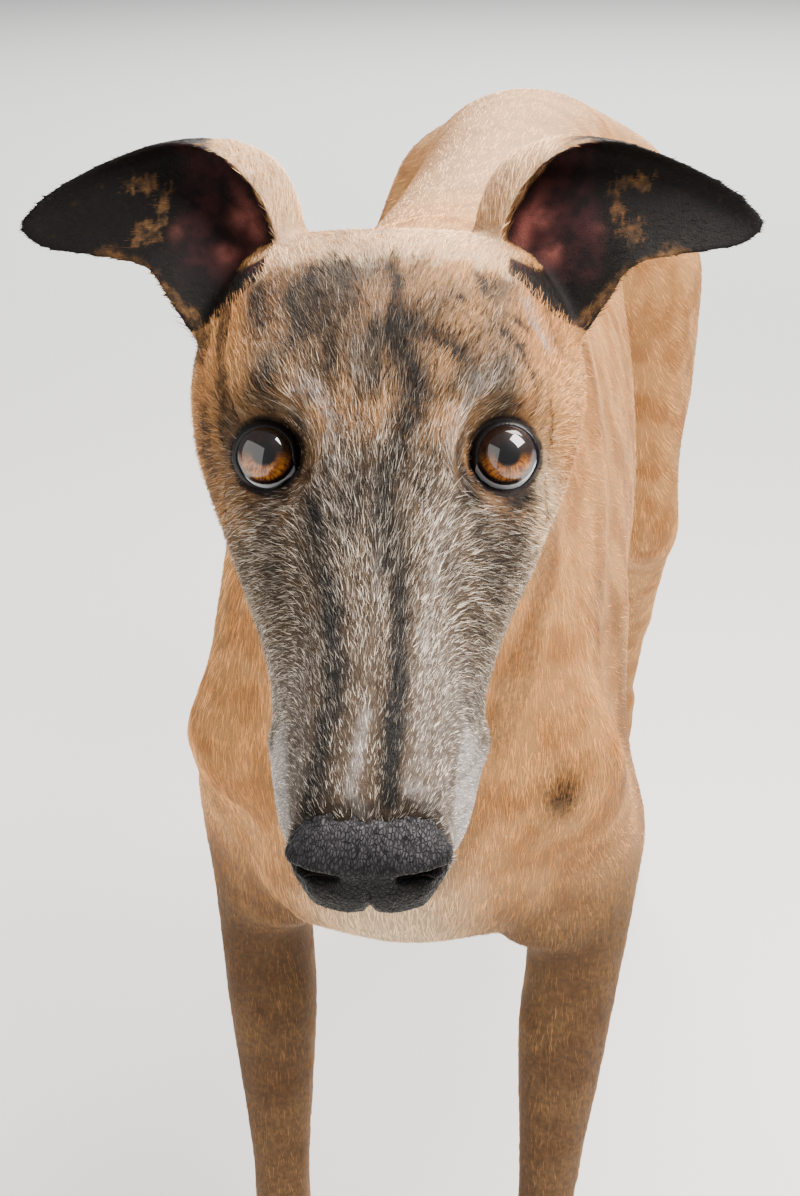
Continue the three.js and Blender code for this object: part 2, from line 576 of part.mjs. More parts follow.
function headSurface() {
  const lines = Object.fromEntries(Object.entries(headLines).map(([name, rows]) => [name, track(rows)]));
  const rings = headStations.map((station) => featureRing(lines, station));
  const frame = sectionFrame(1);
  const centre = [frame.shift, ...frame.middle];
  const neckRing = rings[0].map((p) => {
    const world = toBody(p);
    const rise = (world[1] - centre[1]) * frame.up[0] + (world[2] - centre[2]) * frame.up[1];
    const size = Math.hypot(world[0] - centre[0], rise);
    const tall = rise / size;
    const direction = [(world[0] - centre[0]) / size, tall * frame.up[0], tall * frame.up[1]];
    const [met] = shiftAlongNeck([surfacePoint(bodyDistance, centre, direction, 120)], 1, gap);
    return toHead(met);
  });
  const apart = neckRing.map((p, k) => p.map((v, i) => v - rings[0][k][i]));
  headStations.forEach((station, r) => {
    const share = 1 - smooth((station - headStations[0]) / neckBlend);
    rings[r] = rings[r].map((p, k) => p.map((v, i) => v + apart[k][i] * share));
  });
  return closeRings(rings, { last: headPoint([129.5, 0, -20]) });
}

function ball(radius, at, around = 16, high = 8) {
  const geometry = new THREE.SphereGeometry(radius, around, high);
  geometry.translate(...at);
  return solidOf(geometry);
}

// The open space between the lids: a short oval cone along the way that the eye faces
function lidOpening() {
  const [wide, tall] = eye.open;
  const depth = 24;
  const geometry = new THREE.CylinderGeometry(1.5, 0.8, depth, 18, 1);
  geometry.scale(wide, 1, tall);
  geometry.translate(0, depth / 2, 0);
  const facing = new THREE.Vector3(...headPoint(eye.facing)).normalize();
  const up = new THREE.Vector3(0, 0, 1);
  const sideways = new THREE.Vector3().crossVectors(up, facing).normalize();
  const tallWay = new THREE.Vector3().crossVectors(facing, sideways);
  geometry.applyMatrix4(new THREE.Matrix4().makeBasis(sideways, facing, tallWay));
  geometry.translate(...headPoint(eye.at));
  return solidOf(geometry);
}

// The space of the lower jaw, under the mouth line and in front of its corner
function jawSpace(inset) {
  const line = new THREE.CatmullRomCurve3(mouthLine.map(([a, u]) => new THREE.Vector3(a, u, 0)));
  const upper = line.getPoints(12).map((p) => [-p.x, p.y - inset]);
  upper[0][0] -= inset;
  const outline = [...upper, [-145, -100], [upper[0][0], -100]];
  return prism(outline, 'yz', -60, 60);
}

function noseShape(grow) {
  const [forward, , up] = nose.at;
  const distance = (p) => {
    const [a, r, u] = [-p[1] - forward, Math.abs(p[0]), p[2] - up];
    const size = ((Math.abs(a) / nose.size[0]) ** 2.4 + (r / nose.size[1]) ** 2.6
      + (Math.abs(u) / nose.size[2]) ** 2.4) ** (1 / 2.45);
    const pad = Math.hypot(a, r, u) * (1 - 1 / Math.max(size, 1e-6));
    const { at, radius, blend } = nose.wing;
    const wing = Math.hypot(a - at[0], r - at[1], u - at[2]) - radius;
    return softMin(pad, wing, blend) - grow;
  };
  const centre = headPoint(nose.at);
  const rings = [];
  const { around, high } = nose;
  for (let i = 1; i < high; i += 1) {
    const polar = (i / high) * Math.PI;
    rings.push(Array.from({ length: around }, (_, k) => {
      const angle = (k / around) * Math.PI * 2;
      const across = Math.sin(polar);
      const direction = [across * Math.sin(angle), -Math.cos(polar), across * Math.cos(angle)];
      return surfacePoint(distance, centre, direction, noseReach);
    }));
  }
  const [first, last] = [-1, 1].map((way) => surfacePoint(distance, centre, [0, way, 0], noseReach));
  return closeRings(rings, { first, last });
}

function nostril(side) {
  const [forward, out, up] = nostrilForm.at;
  const geometry = new THREE.SphereGeometry(1, 10, 6);
  geometry.scale(...nostrilForm.half);
  geometry.translate(...headPoint([forward, out * side, up]));
  return solidOf(geometry);
}

// An ear: a curved shell between its two edges and the deep line of its cup
function earSurface(side) {
  const edge = (rows) => new THREE.CatmullRomCurve3(rows.map((p) => new THREE.Vector3(...headPoint(p))));
  const [inner, outer, hollow] = [edge(ear.inner), edge(ear.outer), edge(ear.hollow)];
  const middle = [];
  for (let i = 0; i <= ear.along; i += 1) {
    const t = (i / ear.along) * 0.985;
    const [a, b, deep] = [inner.getPoint(t), outer.getPoint(t), hollow.getPoint(t)];
    const pull = deep.multiplyScalar(2).addScaledVector(a, -0.5).addScaledVector(b, -0.5);
    for (let k = 0; k <= ear.across; k += 1) {
      const c = k / ear.across;
      middle.push(new THREE.Vector3().addScaledVector(a, (1 - c) ** 2).addScaledVector(pull, 2 * c * (1 - c))
        .addScaledVector(b, c ** 2));
    }
  }
  const width = ear.across + 1;
  const rows = ear.along + 1;
  const at = (i, k) => middle[clamp(i, 0, rows - 1) * width + clamp(k, 0, width - 1)];
  const faceOf = (sign) => middle.map((p, n) => {
    const i = Math.floor(n / width);
    const k = n % width;
    const along = at(i + 1, k).clone().sub(at(i - 1, k));
    const across = at(i, k + 1).clone().sub(at(i, k - 1));
    const normal = along.cross(across).normalize();
    const rim = 1 - 0.55 * Math.abs((2 * k) / ear.across - 1) ** 4;
    return p.clone().addScaledVector(normal, (sign * ear.thickness * rim) / 2).toArray();
  });
  const points = [...faceOf(1), ...faceOf(-1)];
  const faces = [];
  const other = rows * width;
  for (let i = 0; i < ear.along; i += 1) {
    for (let k = 0; k < ear.across; k += 1) {
      const [a, b, c, d] = [i * width + k, i * width + k + 1, (i + 1) * width + k, (i + 1) * width + k + 1];
      faces.push(a, c, b, b, c, d, a + other, b + other, c + other, b + other, d + other, c + other);
    }
  }
  const rim = [];
  for (let k = 0; k < width; k += 1) rim.push(k);
  for (let i = 1; i < rows; i += 1) rim.push(i * width + ear.across);
  for (let k = ear.across - 1; k >= 0; k -= 1) rim.push(ear.along * width + k);
  for (let i = rows - 2; i > 0; i -= 1) rim.push(i * width);
  rim.forEach((a, n) => {
    const b = rim[(n + 1) % rim.length];
    faces.push(a, b, a + other, b, b + other, a + other);
  });
  const turned = side > 0 ? points : points.map(([x, y, z]) => [-x, y, z]);
  return { points: turned, faces };
}

function buildHead() {
  const surface = headSurface();
  const eyeSide = (side) => headPoint([eye.at[0], eye.at[1] * side, eye.at[2]]);
  let shape = solid(surface);
  for (const [, side] of sides) shape = shape.add(ball(eye.radius + eye.lid, eyeSide(side), 16, 10));
  for (const [, side] of sides) {
    shape = shape.subtract(mirrorX(lidOpening(), side)).subtract(ball(eye.radius + gap, eyeSide(side)));
  }
  const noseSolid = solid(noseShape(0));
  const noseCutter = solid(noseShape(gap));
  const jaw = largest(shape.intersect(jawSpace(gap / 2)).subtract(noseCutter));
  shape = largest(shape.subtract(jawSpace(-gap / 2)).subtract(noseCutter));
  addNode(headGroup, 'head', shape, 'greyFace');
  addNode(headGroup, 'lower_jaw', jaw, 'greyFace');
  addNode(headGroup, 'nose', largest(noseSolid.subtract(nostril(1)).subtract(nostril(-1))), 'leather');
  const headCutter = solid(swollen(surface, gap));
  for (const [name, side] of sides) {
    addNode(headGroup, `eye_${name}`, ball(eye.radius, eyeSide(side)), 'eye');
    addNode(headGroup, `ear_${name}`, largest(solid(earSurface(side)).subtract(headCutter)), 'earDark');
  }
}

addNode(dog, 'torso', trunk(), 'coat');
addNode(dog, 'neck', solid(closeRings(neckRings)), 'coat');
for (const [leg, paw] of [[foreLeg, forePaw], [hindLeg, hindPaw]]) {
  const legSolid = legShape(leg);
  const pawSolid = pawShape(paw);
  for (const [name, side] of sides) {
    addNode(dog, `${leg.name}_${name}`, mirrorX(legSolid, side), 'coat');
    addNode(dog, `${paw.name}_${name}`, mirrorX(pawSolid, side), 'coat');
  }
}
buildHead();
addNode(dog, 'tail_base', solid(tailSurface(0, tailSplit, 0)), 'coat');
addNode(dog, 'tail_tip', solid(tailSurface(tailSplit, 1, gap)), 'coat');

// The origin is on the floor under the middle of the dog
const box = new THREE.Box3().setFromObject(root, true);
dog.position.set(-(box.min.x + box.max.x) / 2, -(box.min.y + box.max.y) / 2, -box.min.z);

export default root;
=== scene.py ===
import math
import time
from functools import reduce

import bmesh
import bpy
import numpy as np
from mathutils import Matrix, Vector


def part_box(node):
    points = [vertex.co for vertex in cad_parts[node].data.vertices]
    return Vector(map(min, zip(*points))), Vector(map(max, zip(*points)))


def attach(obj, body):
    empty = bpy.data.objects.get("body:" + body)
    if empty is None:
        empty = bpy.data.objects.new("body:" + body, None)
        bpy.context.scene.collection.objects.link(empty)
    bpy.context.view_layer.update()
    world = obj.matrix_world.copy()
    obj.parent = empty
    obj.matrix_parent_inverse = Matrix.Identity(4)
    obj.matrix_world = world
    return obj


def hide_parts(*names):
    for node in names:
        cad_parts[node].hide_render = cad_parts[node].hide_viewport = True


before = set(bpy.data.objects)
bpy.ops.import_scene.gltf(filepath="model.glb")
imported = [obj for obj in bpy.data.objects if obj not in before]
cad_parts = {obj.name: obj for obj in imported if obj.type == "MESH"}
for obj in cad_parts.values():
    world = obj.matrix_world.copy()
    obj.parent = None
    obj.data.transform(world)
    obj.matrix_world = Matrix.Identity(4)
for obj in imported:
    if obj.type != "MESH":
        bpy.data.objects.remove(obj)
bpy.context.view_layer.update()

mm = 0.001
started = time.time()
sides = {"left": 1, "right": -1}


def report(stage):
    print(f"{time.time() - started:6.1f} s  {stage}")


# The head has axes of its own: forward to the nose, side to the dog's left, up out of the skull
headPose = {"yaw": 7.55, "pitch": 26.2, "roll": -0.55, "eyeForward": -0.4 * mm, "eyeUp": -4.4 * mm}


def middleOf(node):
    low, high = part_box(node)
    return (np.array(low) + np.array(high)) / 2


def turned(yaw, pitch, roll):
    angles = ((yaw, "Z"), (pitch, "X"), (roll, "Y"))
    turns = [Matrix.Rotation(math.radians(angle), 3, axis) for angle, axis in angles]
    return turns[0] @ turns[1] @ turns[2]


headTurn = np.array(turned(headPose["yaw"], headPose["pitch"], headPose["roll"]))
eyesMiddle = (middleOf("eye_left") + middleOf("eye_right")) / 2
headOrigin = eyesMiddle - headTurn @ np.array([0, -headPose["eyeForward"], headPose["eyeUp"]])
middleX = middleOf("torso")[0]


def toHead(points):
    local = (np.asarray(points) - headOrigin) @ headTurn / mm
    return np.stack([-local[..., 1], local[..., 0], local[..., 2]], -1)


def headVector(v):
    v = np.asarray(v, float)
    return np.stack([v[..., 1], -v[..., 0], v[..., 2]], -1) @ headTurn.T


def fromHead(points):
    return headVector(np.asarray(points, float) * mm) + headOrigin


# In mm from the floor under the middle of the trunk
def toBody(points):
    return (points - [middleX, 0, 0]) / mm


# Camera
camera = {"fromEyes": (84.8 * mm, -494.8 * mm, 165.8 * mm), "yaw": 9.2, "pitch": -22.7, "roll": 0.1,
          "focalPixels": 1830, "longSidePixels": 1196, "sensor": 36, "nearest": 0.02}
lensPlace = eyesMiddle + np.array(camera["fromEyes"])


def linked(name, data):
    obj = bpy.data.objects.new(name, data)
    bpy.context.collection.objects.link(obj)
    return obj


def makeCamera():
    data = bpy.data.cameras.new("camera")
    data.sensor_width = camera["sensor"]
    data.lens = camera["focalPixels"] * camera["sensor"] / camera["longSidePixels"]
    data.clip_start = camera["nearest"]
    obj = linked("camera", data)
    turn = turned(camera["yaw"], camera["pitch"], camera["roll"]) @ Matrix.Rotation(math.pi / 2, 3, "X")
    obj.matrix_world = Matrix.Translation(Vector(lensPlace)) @ turn.to_4x4()
    bpy.context.scene.camera = obj


makeCamera()
report("camera")


# Materials: an expression on values adds its Math nodes
class Value:
    def __init__(self, tree, socket):
        self.tree, self.socket = tree, socket

    def maths(self, operation, *operands):
        node = self.tree.nodes.new("ShaderNodeMath")
        node.operation = operation
        for place, operand in zip(node.inputs, operands):
            join(self.tree, place, operand)
        return Value(self.tree, node.outputs[0])

    def __add__(self, other):
        return self.maths("ADD", self, other)

    def __sub__(self, other):
        return self.maths("SUBTRACT", self, other)

    def __rsub__(self, other):
        return self.maths("SUBTRACT", other, self)

    def __mul__(self, other):
        return self.maths("MULTIPLY", self, other)

    __radd__ = __add__
    __rmul__ = __mul__


def join(tree, place, given):
    if isinstance(given, Value):
        tree.links.new(given.socket, place)
    elif isinstance(given, (tuple, list)) and len(given) == 3 and place.type == "RGBA":
        place.default_value = (*given, 1)
    else:
        place.default_value = given


def linear(*values):
    return tuple(((v / 255 + 0.055) / 1.055) ** 2.4 if v > 10 else v / 255 / 12.92 for v in values)


class Finish:
    def __init__(self, name, **fixed):
        self.material = bpy.data.materials.new(name)
        self.material.use_nodes = True
        self.tree = self.material.node_tree
        self.shader = self.tree.nodes["Principled BSDF"]
        self.set(**fixed)

    def set(self, **sockets):
        for name, given in sockets.items():
            join(self.tree, self.shader.inputs[name.replace("_", " ")], given)

    def node(self, kind, settings, sockets, output=0):
        node = self.tree.nodes.new("ShaderNode" + kind)
        for name, setting in settings.items():
            setattr(node, name, setting)
        for name, given in sockets.items():
            join(self.tree, node.inputs[name], given)
        return Value(self.tree, node.outputs[output])

    def mix(self, first, second, share, blend="MIX"):
        settings = {"data_type": "RGBA", "blend_type": blend, "clamp_factor": True}
        return self.node("Mix", settings, {0: share, 6: first, 7: second}, 2)

    def attribute(self, name, output="Fac"):
        return self.node("Attribute", {"attribute_name": name}, {}, output)

    def stretched(self, stretch, vector=None):
        where = vector or self.node("TexCoord", {}, {}, "Object")
        return self.node("VectorMath", {"operation": "MULTIPLY"}, {0: where, 1: stretch})

    def noise(self, scale, detail=2.0, stretch=(1, 1, 1), vector=None):
        where = self.stretched(stretch, vector)
        return self.node("TexNoise", {}, {"Vector": where, "Scale": scale, "Detail": detail})

    def between(self, value, low, high, to=(0, 1)):
        sockets = {"Value": value, "From Min": low, "From Max": high, "To Min": to[0], "To Max": to[1]}
        return self.node("MapRange", {"interpolation_type": "SMOOTHSTEP"}, sockets)

    def bump(self, height, distance, strength=1.0):
        sockets = {"Height": height, "Distance": distance, "Strength": strength}
        self.set(Normal=self.node("Bump", {}, sockets))


# Mesh helpers. A surface is its points and its faces: rows of four, where a triangle repeats its last corner
def smoothStep(value, low, high):
    t = np.clip((value - low) / (high - low), 0, 1)
    return t * t * (3 - 2 * t)


def unit(vectors):
    return vectors / (np.linalg.norm(vectors, axis=-1, keepdims=True) + 1e-12)


def sumInto(index, values, count):
    return np.stack([np.bincount(index, values[:, c], count) for c in range(values.shape[1])], 1)


def normalsOf(points, faces):
    cross = np.cross(points[faces[:, 2]] - points[faces[:, 0]], points[faces[:, 3]] - points[faces[:, 1]])
    return unit(sum(sumInto(faces[:, k], cross, len(points)) for k in range(4)))


def trianglesOf(faces):
    quads = faces[faces[:, 2] != faces[:, 3]]
    return np.concatenate([faces[:, :3], quads[:, [0, 2, 3]]])


def edgesOf(faces):
    pairs = np.concatenate([faces[:, [k, (k + 1) % 4]] for k in range(4)])
    pairs = np.sort(pairs[pairs[:, 0] != pairs[:, 1]], axis=1)
    base = int(faces.max()) + 1
    keys = np.unique(pairs[:, 0] * base + pairs[:, 1])
    return keys // base, keys % base


# Each point moves towards the mean of its neighbours, round after round
def smoothed(points, faces, rounds, weight=1.0, strength=0.5):
    first, second = edgesOf(faces)
    count = np.bincount(first, minlength=len(points)) + np.bincount(second, minlength=len(points))
    share = (strength * np.broadcast_to(np.asarray(weight, float), (len(points),)))[:, None]
    for _ in range(rounds):
        total = sumInto(first, points[second], len(points)) + sumInto(second, points[first], len(points))
        points = points + share * (total / np.maximum(count, 1)[:, None] - points)
    return points


def smoothedNear(points, faces, rounds, weight, strength=0.5):
    region = weight[faces].max(1) > 0.01
    used = np.unique(faces[region])
    renamed = np.zeros(len(points), int)
    renamed[used] = np.arange(len(used))
    local = smoothed(points[used], renamed[faces[region]], rounds, weight[used], strength)
    points = points.copy()
    points[used] = local
    return points


def cornersOf(mesh):
    corners = np.empty(len(mesh.loops), int)
    mesh.loops.foreach_get("vertex_index", corners)
    return corners


def facesOf(mesh):
    loops = cornersOf(mesh)
    starts = np.empty(len(mesh.polygons), int)
    totals = np.empty(len(mesh.polygons), int)
    mesh.polygons.foreach_get("loop_start", starts)
    mesh.polygons.foreach_get("loop_total", totals)
    return np.stack([loops[starts + np.minimum(k, totals - 1)] for k in range(4)], 1)


def pointsOf(mesh):
    points = np.empty(len(mesh.vertices) * 3)
    mesh.vertices.foreach_get("co", points)
    return points.reshape(-1, 3)


def meshFrom(name, points, faces, smooth=True):
    mesh = bpy.data.meshes.new(name)
    keep = np.ones(faces.shape, bool)
    keep[:, 3] = faces[:, 3] != faces[:, 2]
    starts = np.concatenate([[0], np.cumsum(keep.sum(1))[:-1]])
    mesh.vertices.add(len(points))
    mesh.vertices.foreach_set("co", np.ascontiguousarray(points, np.float32).ravel())
    mesh.loops.add(int(keep.sum()))
    mesh.loops.foreach_set("vertex_index", faces[keep].astype(np.int32))
    mesh.polygons.add(len(faces))
    mesh.polygons.foreach_set("loop_start", starts.astype(np.int32))
    mesh.polygons.foreach_set("use_smooth", np.full(len(faces), smooth))
    mesh.update(calc_edges=True)
    return mesh


def addAttribute(mesh, name, values):
    kinds = {1: ("FLOAT", "value"), 3: ("FLOAT_VECTOR", "vector"), 4: ("FLOAT_COLOR", "color")}
    kind, field = kinds[1 if values.ndim == 1 else values.shape[1]]
    layer = mesh.attributes.new(name, kind, "POINT")
    layer.data.foreach_set(field, np.ascontiguousarray(values, np.float32).ravel())


def placed(name, mesh, material, replaced=()):
    obj = linked(name, mesh)
    mesh.materials.append(material)
    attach(obj, "root")
    if replaced:
        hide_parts(*replaced)
    return obj


def nodeSurface(node):
    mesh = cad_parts[node].data
    mesh.calc_loop_triangles()
    corners = np.empty(len(mesh.loop_triangles) * 3, int)
    mesh.loop_triangles.foreach_get("vertices", corners)
    points, merged = np.unique(np.round(pointsOf(mesh), 6), axis=0, return_inverse=True)
    corners = merged.ravel()[corners].reshape(-1, 3)
    return points, corners[:, [0, 1, 2, 2]]


def combined(*surfaces):
    shifts = np.cumsum([0] + [len(points) for points, _ in surfaces])
    faces = [faces + shift for (_, faces), shift in zip(surfaces, shifts)]
    return np.concatenate([points for points, _ in surfaces]), np.concatenate(faces)


def compact(points, faces):
    used = np.unique(faces)
    renamed = np.zeros(len(points), int)
    renamed[used] = np.arange(len(used))
    return points[used], renamed[faces]


def swollen(surface, distance):
    points, faces = surface
    return points + normalsOf(points, faces) * distance, faces


def remeshed(surface, voxel):
    mesh = meshFrom("rough", *surface)
    obj = linked("rough", mesh)
    modifier = obj.modifiers.new("remesh", "REMESH")
    modifier.mode = "VOXEL"
    modifier.voxel_size = voxel
    made = bpy.data.meshes.new_from_object(obj.evaluated_get(bpy.context.evaluated_depsgraph_get()))
    found = pointsOf(made), facesOf(made)
    bpy.data.objects.remove(obj)
    bpy.data.meshes.remove(mesh)
    bpy.data.meshes.remove(made)
    return found


# Keeps the surface that one point belongs to, and drops the bubbles shut in between the solids
def outerPart(points, faces, start):
    first, second = edgesOf(faces)
    near = np.concatenate([first, second])
    far = np.concatenate([second, first])
    order = np.argsort(near, kind="stable")
    far = far[order]
    starts = np.searchsorted(near[order], np.arange(len(points) + 1))
    seen = np.zeros(len(points), bool)
    front = np.array([start])
    seen[front] = True
    while len(front):
        counts = starts[front + 1] - starts[front]
        offsets = np.arange(counts.sum()) - np.repeat(np.cumsum(counts) - counts, counts)
        reached = np.unique(far[np.repeat(starts[front], counts) + offsets])
        front = reached[~seen[reached]]
        seen[front] = True
    return compact(points, faces[seen[faces[:, 0]]])


# Cuts a surface by a plane and keeps the side that the normal points to
def cutBy(surface, at, normal, capped=False):
    bm = bmesh.new()
    rough = meshFrom("cut", *surface)
    bm.from_mesh(rough)
    geometry = bm.verts[:] + bm.edges[:] + bm.faces[:]
    made = bmesh.ops.bisect_plane(bm, geom=geometry, plane_co=Vector(at), plane_no=Vector(normal),
                                  clear_inner=True, dist=1e-6)
    if capped:
        edges = [item for item in made["geom_cut"] if isinstance(item, bmesh.types.BMEdge)]
        bmesh.ops.holes_fill(bm, edges=edges)
    bmesh.ops.triangulate(bm, faces=[face for face in bm.faces if len(face.verts) > 4])
    mesh = bpy.data.meshes.new("cut")
    bm.to_mesh(mesh)
    bm.free()
    found = pointsOf(mesh), facesOf(mesh)
    bpy.data.meshes.remove(mesh)
    bpy.data.meshes.remove(rough)
    return found


def openLoops(faces):
    corners = np.concatenate([faces[:, [k, (k + 1) % 4]] for k in range(4)])
    corners = corners[corners[:, 0] != corners[:, 1]]
    base = int(corners.max()) + 1
    forward = corners[:, 0] * base + corners[:, 1]
    backward = corners[:, 1] * base + corners[:, 0]
    following = dict(corners[~np.isin(forward, backward)].tolist())
    loops = []
    while following:
        at, loop = next(iter(following)), []
        while at in following:
            loop.append(at)
            at = following.pop(at)
        loops.append(loop)
    return loops


# Joins two surfaces, whose open edges lie in one plane, by a strip of triangles between these edges
def zipped(near, far, at, normal):
    axis = unit(np.array(normal, float))
    across = unit(np.cross(axis, [0.3, 0.2, 1.0]))
    tall = np.cross(axis, across)
    points, faces = combined(near, far)
    rings, loops = [], []
    for (place, rows), shift in ((near, 0), (far, len(near[0]))):
        flat = [loop for loop in openLoops(rows) if np.abs((place[loop] - at) @ axis).max() < 1e-4]
        ring = max(flat, key=len)
        loops.append(ring)
        offset = place[ring] - place[ring].mean(0)
        angle = np.arctan2(offset @ tall, offset @ across)
        order = np.argsort(angle)
        rings.append((np.array(ring)[order] + shift, np.append(angle[order], angle[order][0] + 2 * math.pi)))
    (inner, innerAngle), (outer, outerAngle) = rings
    strip, i, j = [], 0, 0
    while i < len(inner) or j < len(outer):
        here, there = inner[i % len(inner)], outer[j % len(outer)]
        if j >= len(outer) or (i < len(inner) and innerAngle[i + 1] <= outerAngle[j + 1]):
            i += 1
            ahead = inner[i % len(inner)]
        else:
            j += 1
            ahead = outer[j % len(outer)]
        strip.append((here, ahead, there, there))
    strip = np.array(strip)
    # the strip runs against the open edges that it closes
    following = dict(zip(loops[0], loops[0][1:] + loops[0][:1]))
    if sum(following[a] == b for a, b in zip(inner, np.roll(inner, -1))) > len(inner) / 2:
        strip = strip[:, [1, 0, 2, 2]]
    return points, np.concatenate([faces, strip])


# Distances to lines, and the forms that the flesh makes over bone, muscle and sinew
def distanceTo(points, line):
    best = np.full(len(points), 1e9)
    line = np.asarray(line, float)
    for start, end in zip(line[:-1], line[1:]):
        along = end - start
        t = np.clip((points - start) @ along / (along @ along), 0, 1)
        best = np.minimum(best, np.linalg.norm(points - start - t[:, None] * along, axis=1))
    return best


def bell(offset, width):
    return np.exp(-(offset / width) ** 2)


def band(points, line, width):
    return bell(distanceTo(points, line), width)


def spot(points, centre, radii):
    return np.exp(-(((points - np.array(centre)) / np.array(radii)) ** 2).sum(1))


# A cheap smooth pattern in -1 to 1 from a few crossed waves, for soft edges and patches
def ripple(points, size, seed=0):
    rng = np.random.default_rng(seed)
    total = np.zeros(len(points))
    for octave in range(2):
        for _ in range(5):
            wave = unit(rng.normal(size=3)) * 2 ** octave * 2 * math.pi / size
            total += np.sin(points @ wave + rng.uniform(0, 6.28)) / (5 * 1.6 ** octave)
    return np.clip(total * 1.5, -1, 1)


# Polar is the angle from where the eye looks, around turns from the outer corner over the top.
# Angles in degrees, lengths in mm
eye = {
    "radius": 10.9, "cornea": 0.6, "corneaEnds": (32, 52),
    "left": {"shift": (1.8, 0.5), "gaze": (9.0, 1.5), "upperBare": 1.2,
             "open": {"outer": 55, "inner": 46, "upper": 49, "lower": 70}},
    "right": {"shift": (1.1, 0.7), "gaze": (6.3, 1.5), "upperBare": 0.4,
              "open": {"outer": 47, "inner": 43, "upper": 43, "lower": 62}},
    "tearCorner": {"around": 214, "wide": 18, "reach": 14},
    "outerCorner": {"around": -8, "wide": 16, "reach": 3},
    # section of the lid's rim: distance past the margin along the eye, and height over the eye, in mm
    "rim": [(-0.5, -1.2), (-0.15, -0.35), (0.0, 0.1), (0.2, 0.4), (0.6, 0.6), (1.2, 0.65), (1.9, 0.5),
            (2.5, 0.1), (3.0, -1.0), (1.5, -2.0)],
    # the skin round the eye: where the lid starts, its height, how deep the skin lies under the opening,
    # where it meets the head again, how far all this reaches, and the wall beside the nose
    "lidFrom": 1.2, "lidHeight": 0.4, "behind": 1.8, "lidFade": (3.4, 11.0), "skinReach": 26,
    "wall": (9.5, 18), "wallDepth": 5.5,
}


# The eyes look a little past the lens, each to its own side
def eyeAxes(side):
    aside, raised = eye[side]["shift"]
    centre = middleOf(f"eye_{side}") + headVector((0, sides[side] * aside, raised)) * mm
    ahead = unit(lensPlace - centre)
    outward = headVector((0, sides[side], 0))
    outward = unit(outward - ahead * (outward @ ahead))
    top = unit(np.cross(outward, ahead)) * -sides[side]
    aside, raised = np.tan(np.radians(eye[side]["gaze"]))
    gaze = unit(ahead + outward * aside + top * raised)
    outward = unit(outward - gaze * (outward @ gaze))
    return centre, gaze, outward, unit(np.cross(outward, gaze)) * -sides[side]


def marginAngle(around, side):
    turn = np.radians(around)
    opened = eye[side]["open"]
    wide = np.where(np.cos(turn) > 0, opened["outer"], opened["inner"])
    tall = np.where(np.sin(turn) > 0, opened["upper"], opened["lower"])
    angle = 1 / np.sqrt((np.cos(turn) / wide) ** 2 + (np.sin(turn) / tall) ** 2)
    for corner in (eye["tearCorner"], eye["outerCorner"]):
        away = (around - corner["around"] + 180) % 360 - 180
        angle = angle + corner["reach"] * bell(away, corner["wide"])
    return angle


def eyePolar(points, side):
    centre, gaze, outward, top = eyeAxes(side)
    offset = (points - centre) / mm
    away = np.linalg.norm(offset, axis=1)
    around = np.degrees(np.arctan2(offset @ top, offset @ outward))
    depth = offset @ gaze
    polar = np.degrees(np.arccos(np.clip(depth / np.maximum(away, 1e-9), -1, 1)))
    # in front of the eye a point counts by how far aside it lies
    aside = np.sqrt(np.maximum(away ** 2 - depth ** 2, 0)) / np.clip(away, 1e-9, eye["radius"] + 1)
    seen = np.degrees(np.arcsin(np.minimum(aside, 1)) + np.maximum(aside - 1, 0))
    return away, np.where(depth > 0, np.maximum(polar, seen), polar), around


# How far a point is past the lid's margin, in mm along the eye; below zero inside the opening
def pastMargin(points, side):
    away, polar, around = eyePolar(points, side)
    return away, np.radians(polar - marginAngle(around, side)) * eye["radius"]


# The nose leather in head coordinates
nose = {"top": 126.3, "edge": 1.8, "proud": 0.3, "sunk": 1.1, "voxel": 0.5 * mm, "cut": 106,
        "nostril": (13.6, -14.2), "nostrilSize": (5.6, 2.1), "shelf": -10.2, "lobe": (9.8, -20.5),
        "solidHole": (137.5, 10.6, 17.8)}


def leatherShare(h):
    side, low = np.abs(h[:, 1]), -h[:, 2]
    front = nose["top"] - 0.012 * np.minimum(side, 20) ** 2 + ripple(h, 4, 21)
    front = front + 5.5 * smoothStep(low, 6, 15) * smoothStep(side, 14, 19) + 9 * smoothStep(low, 24, 34)
    return smoothStep(h[:, 0] - front, -nose["edge"], nose["edge"])


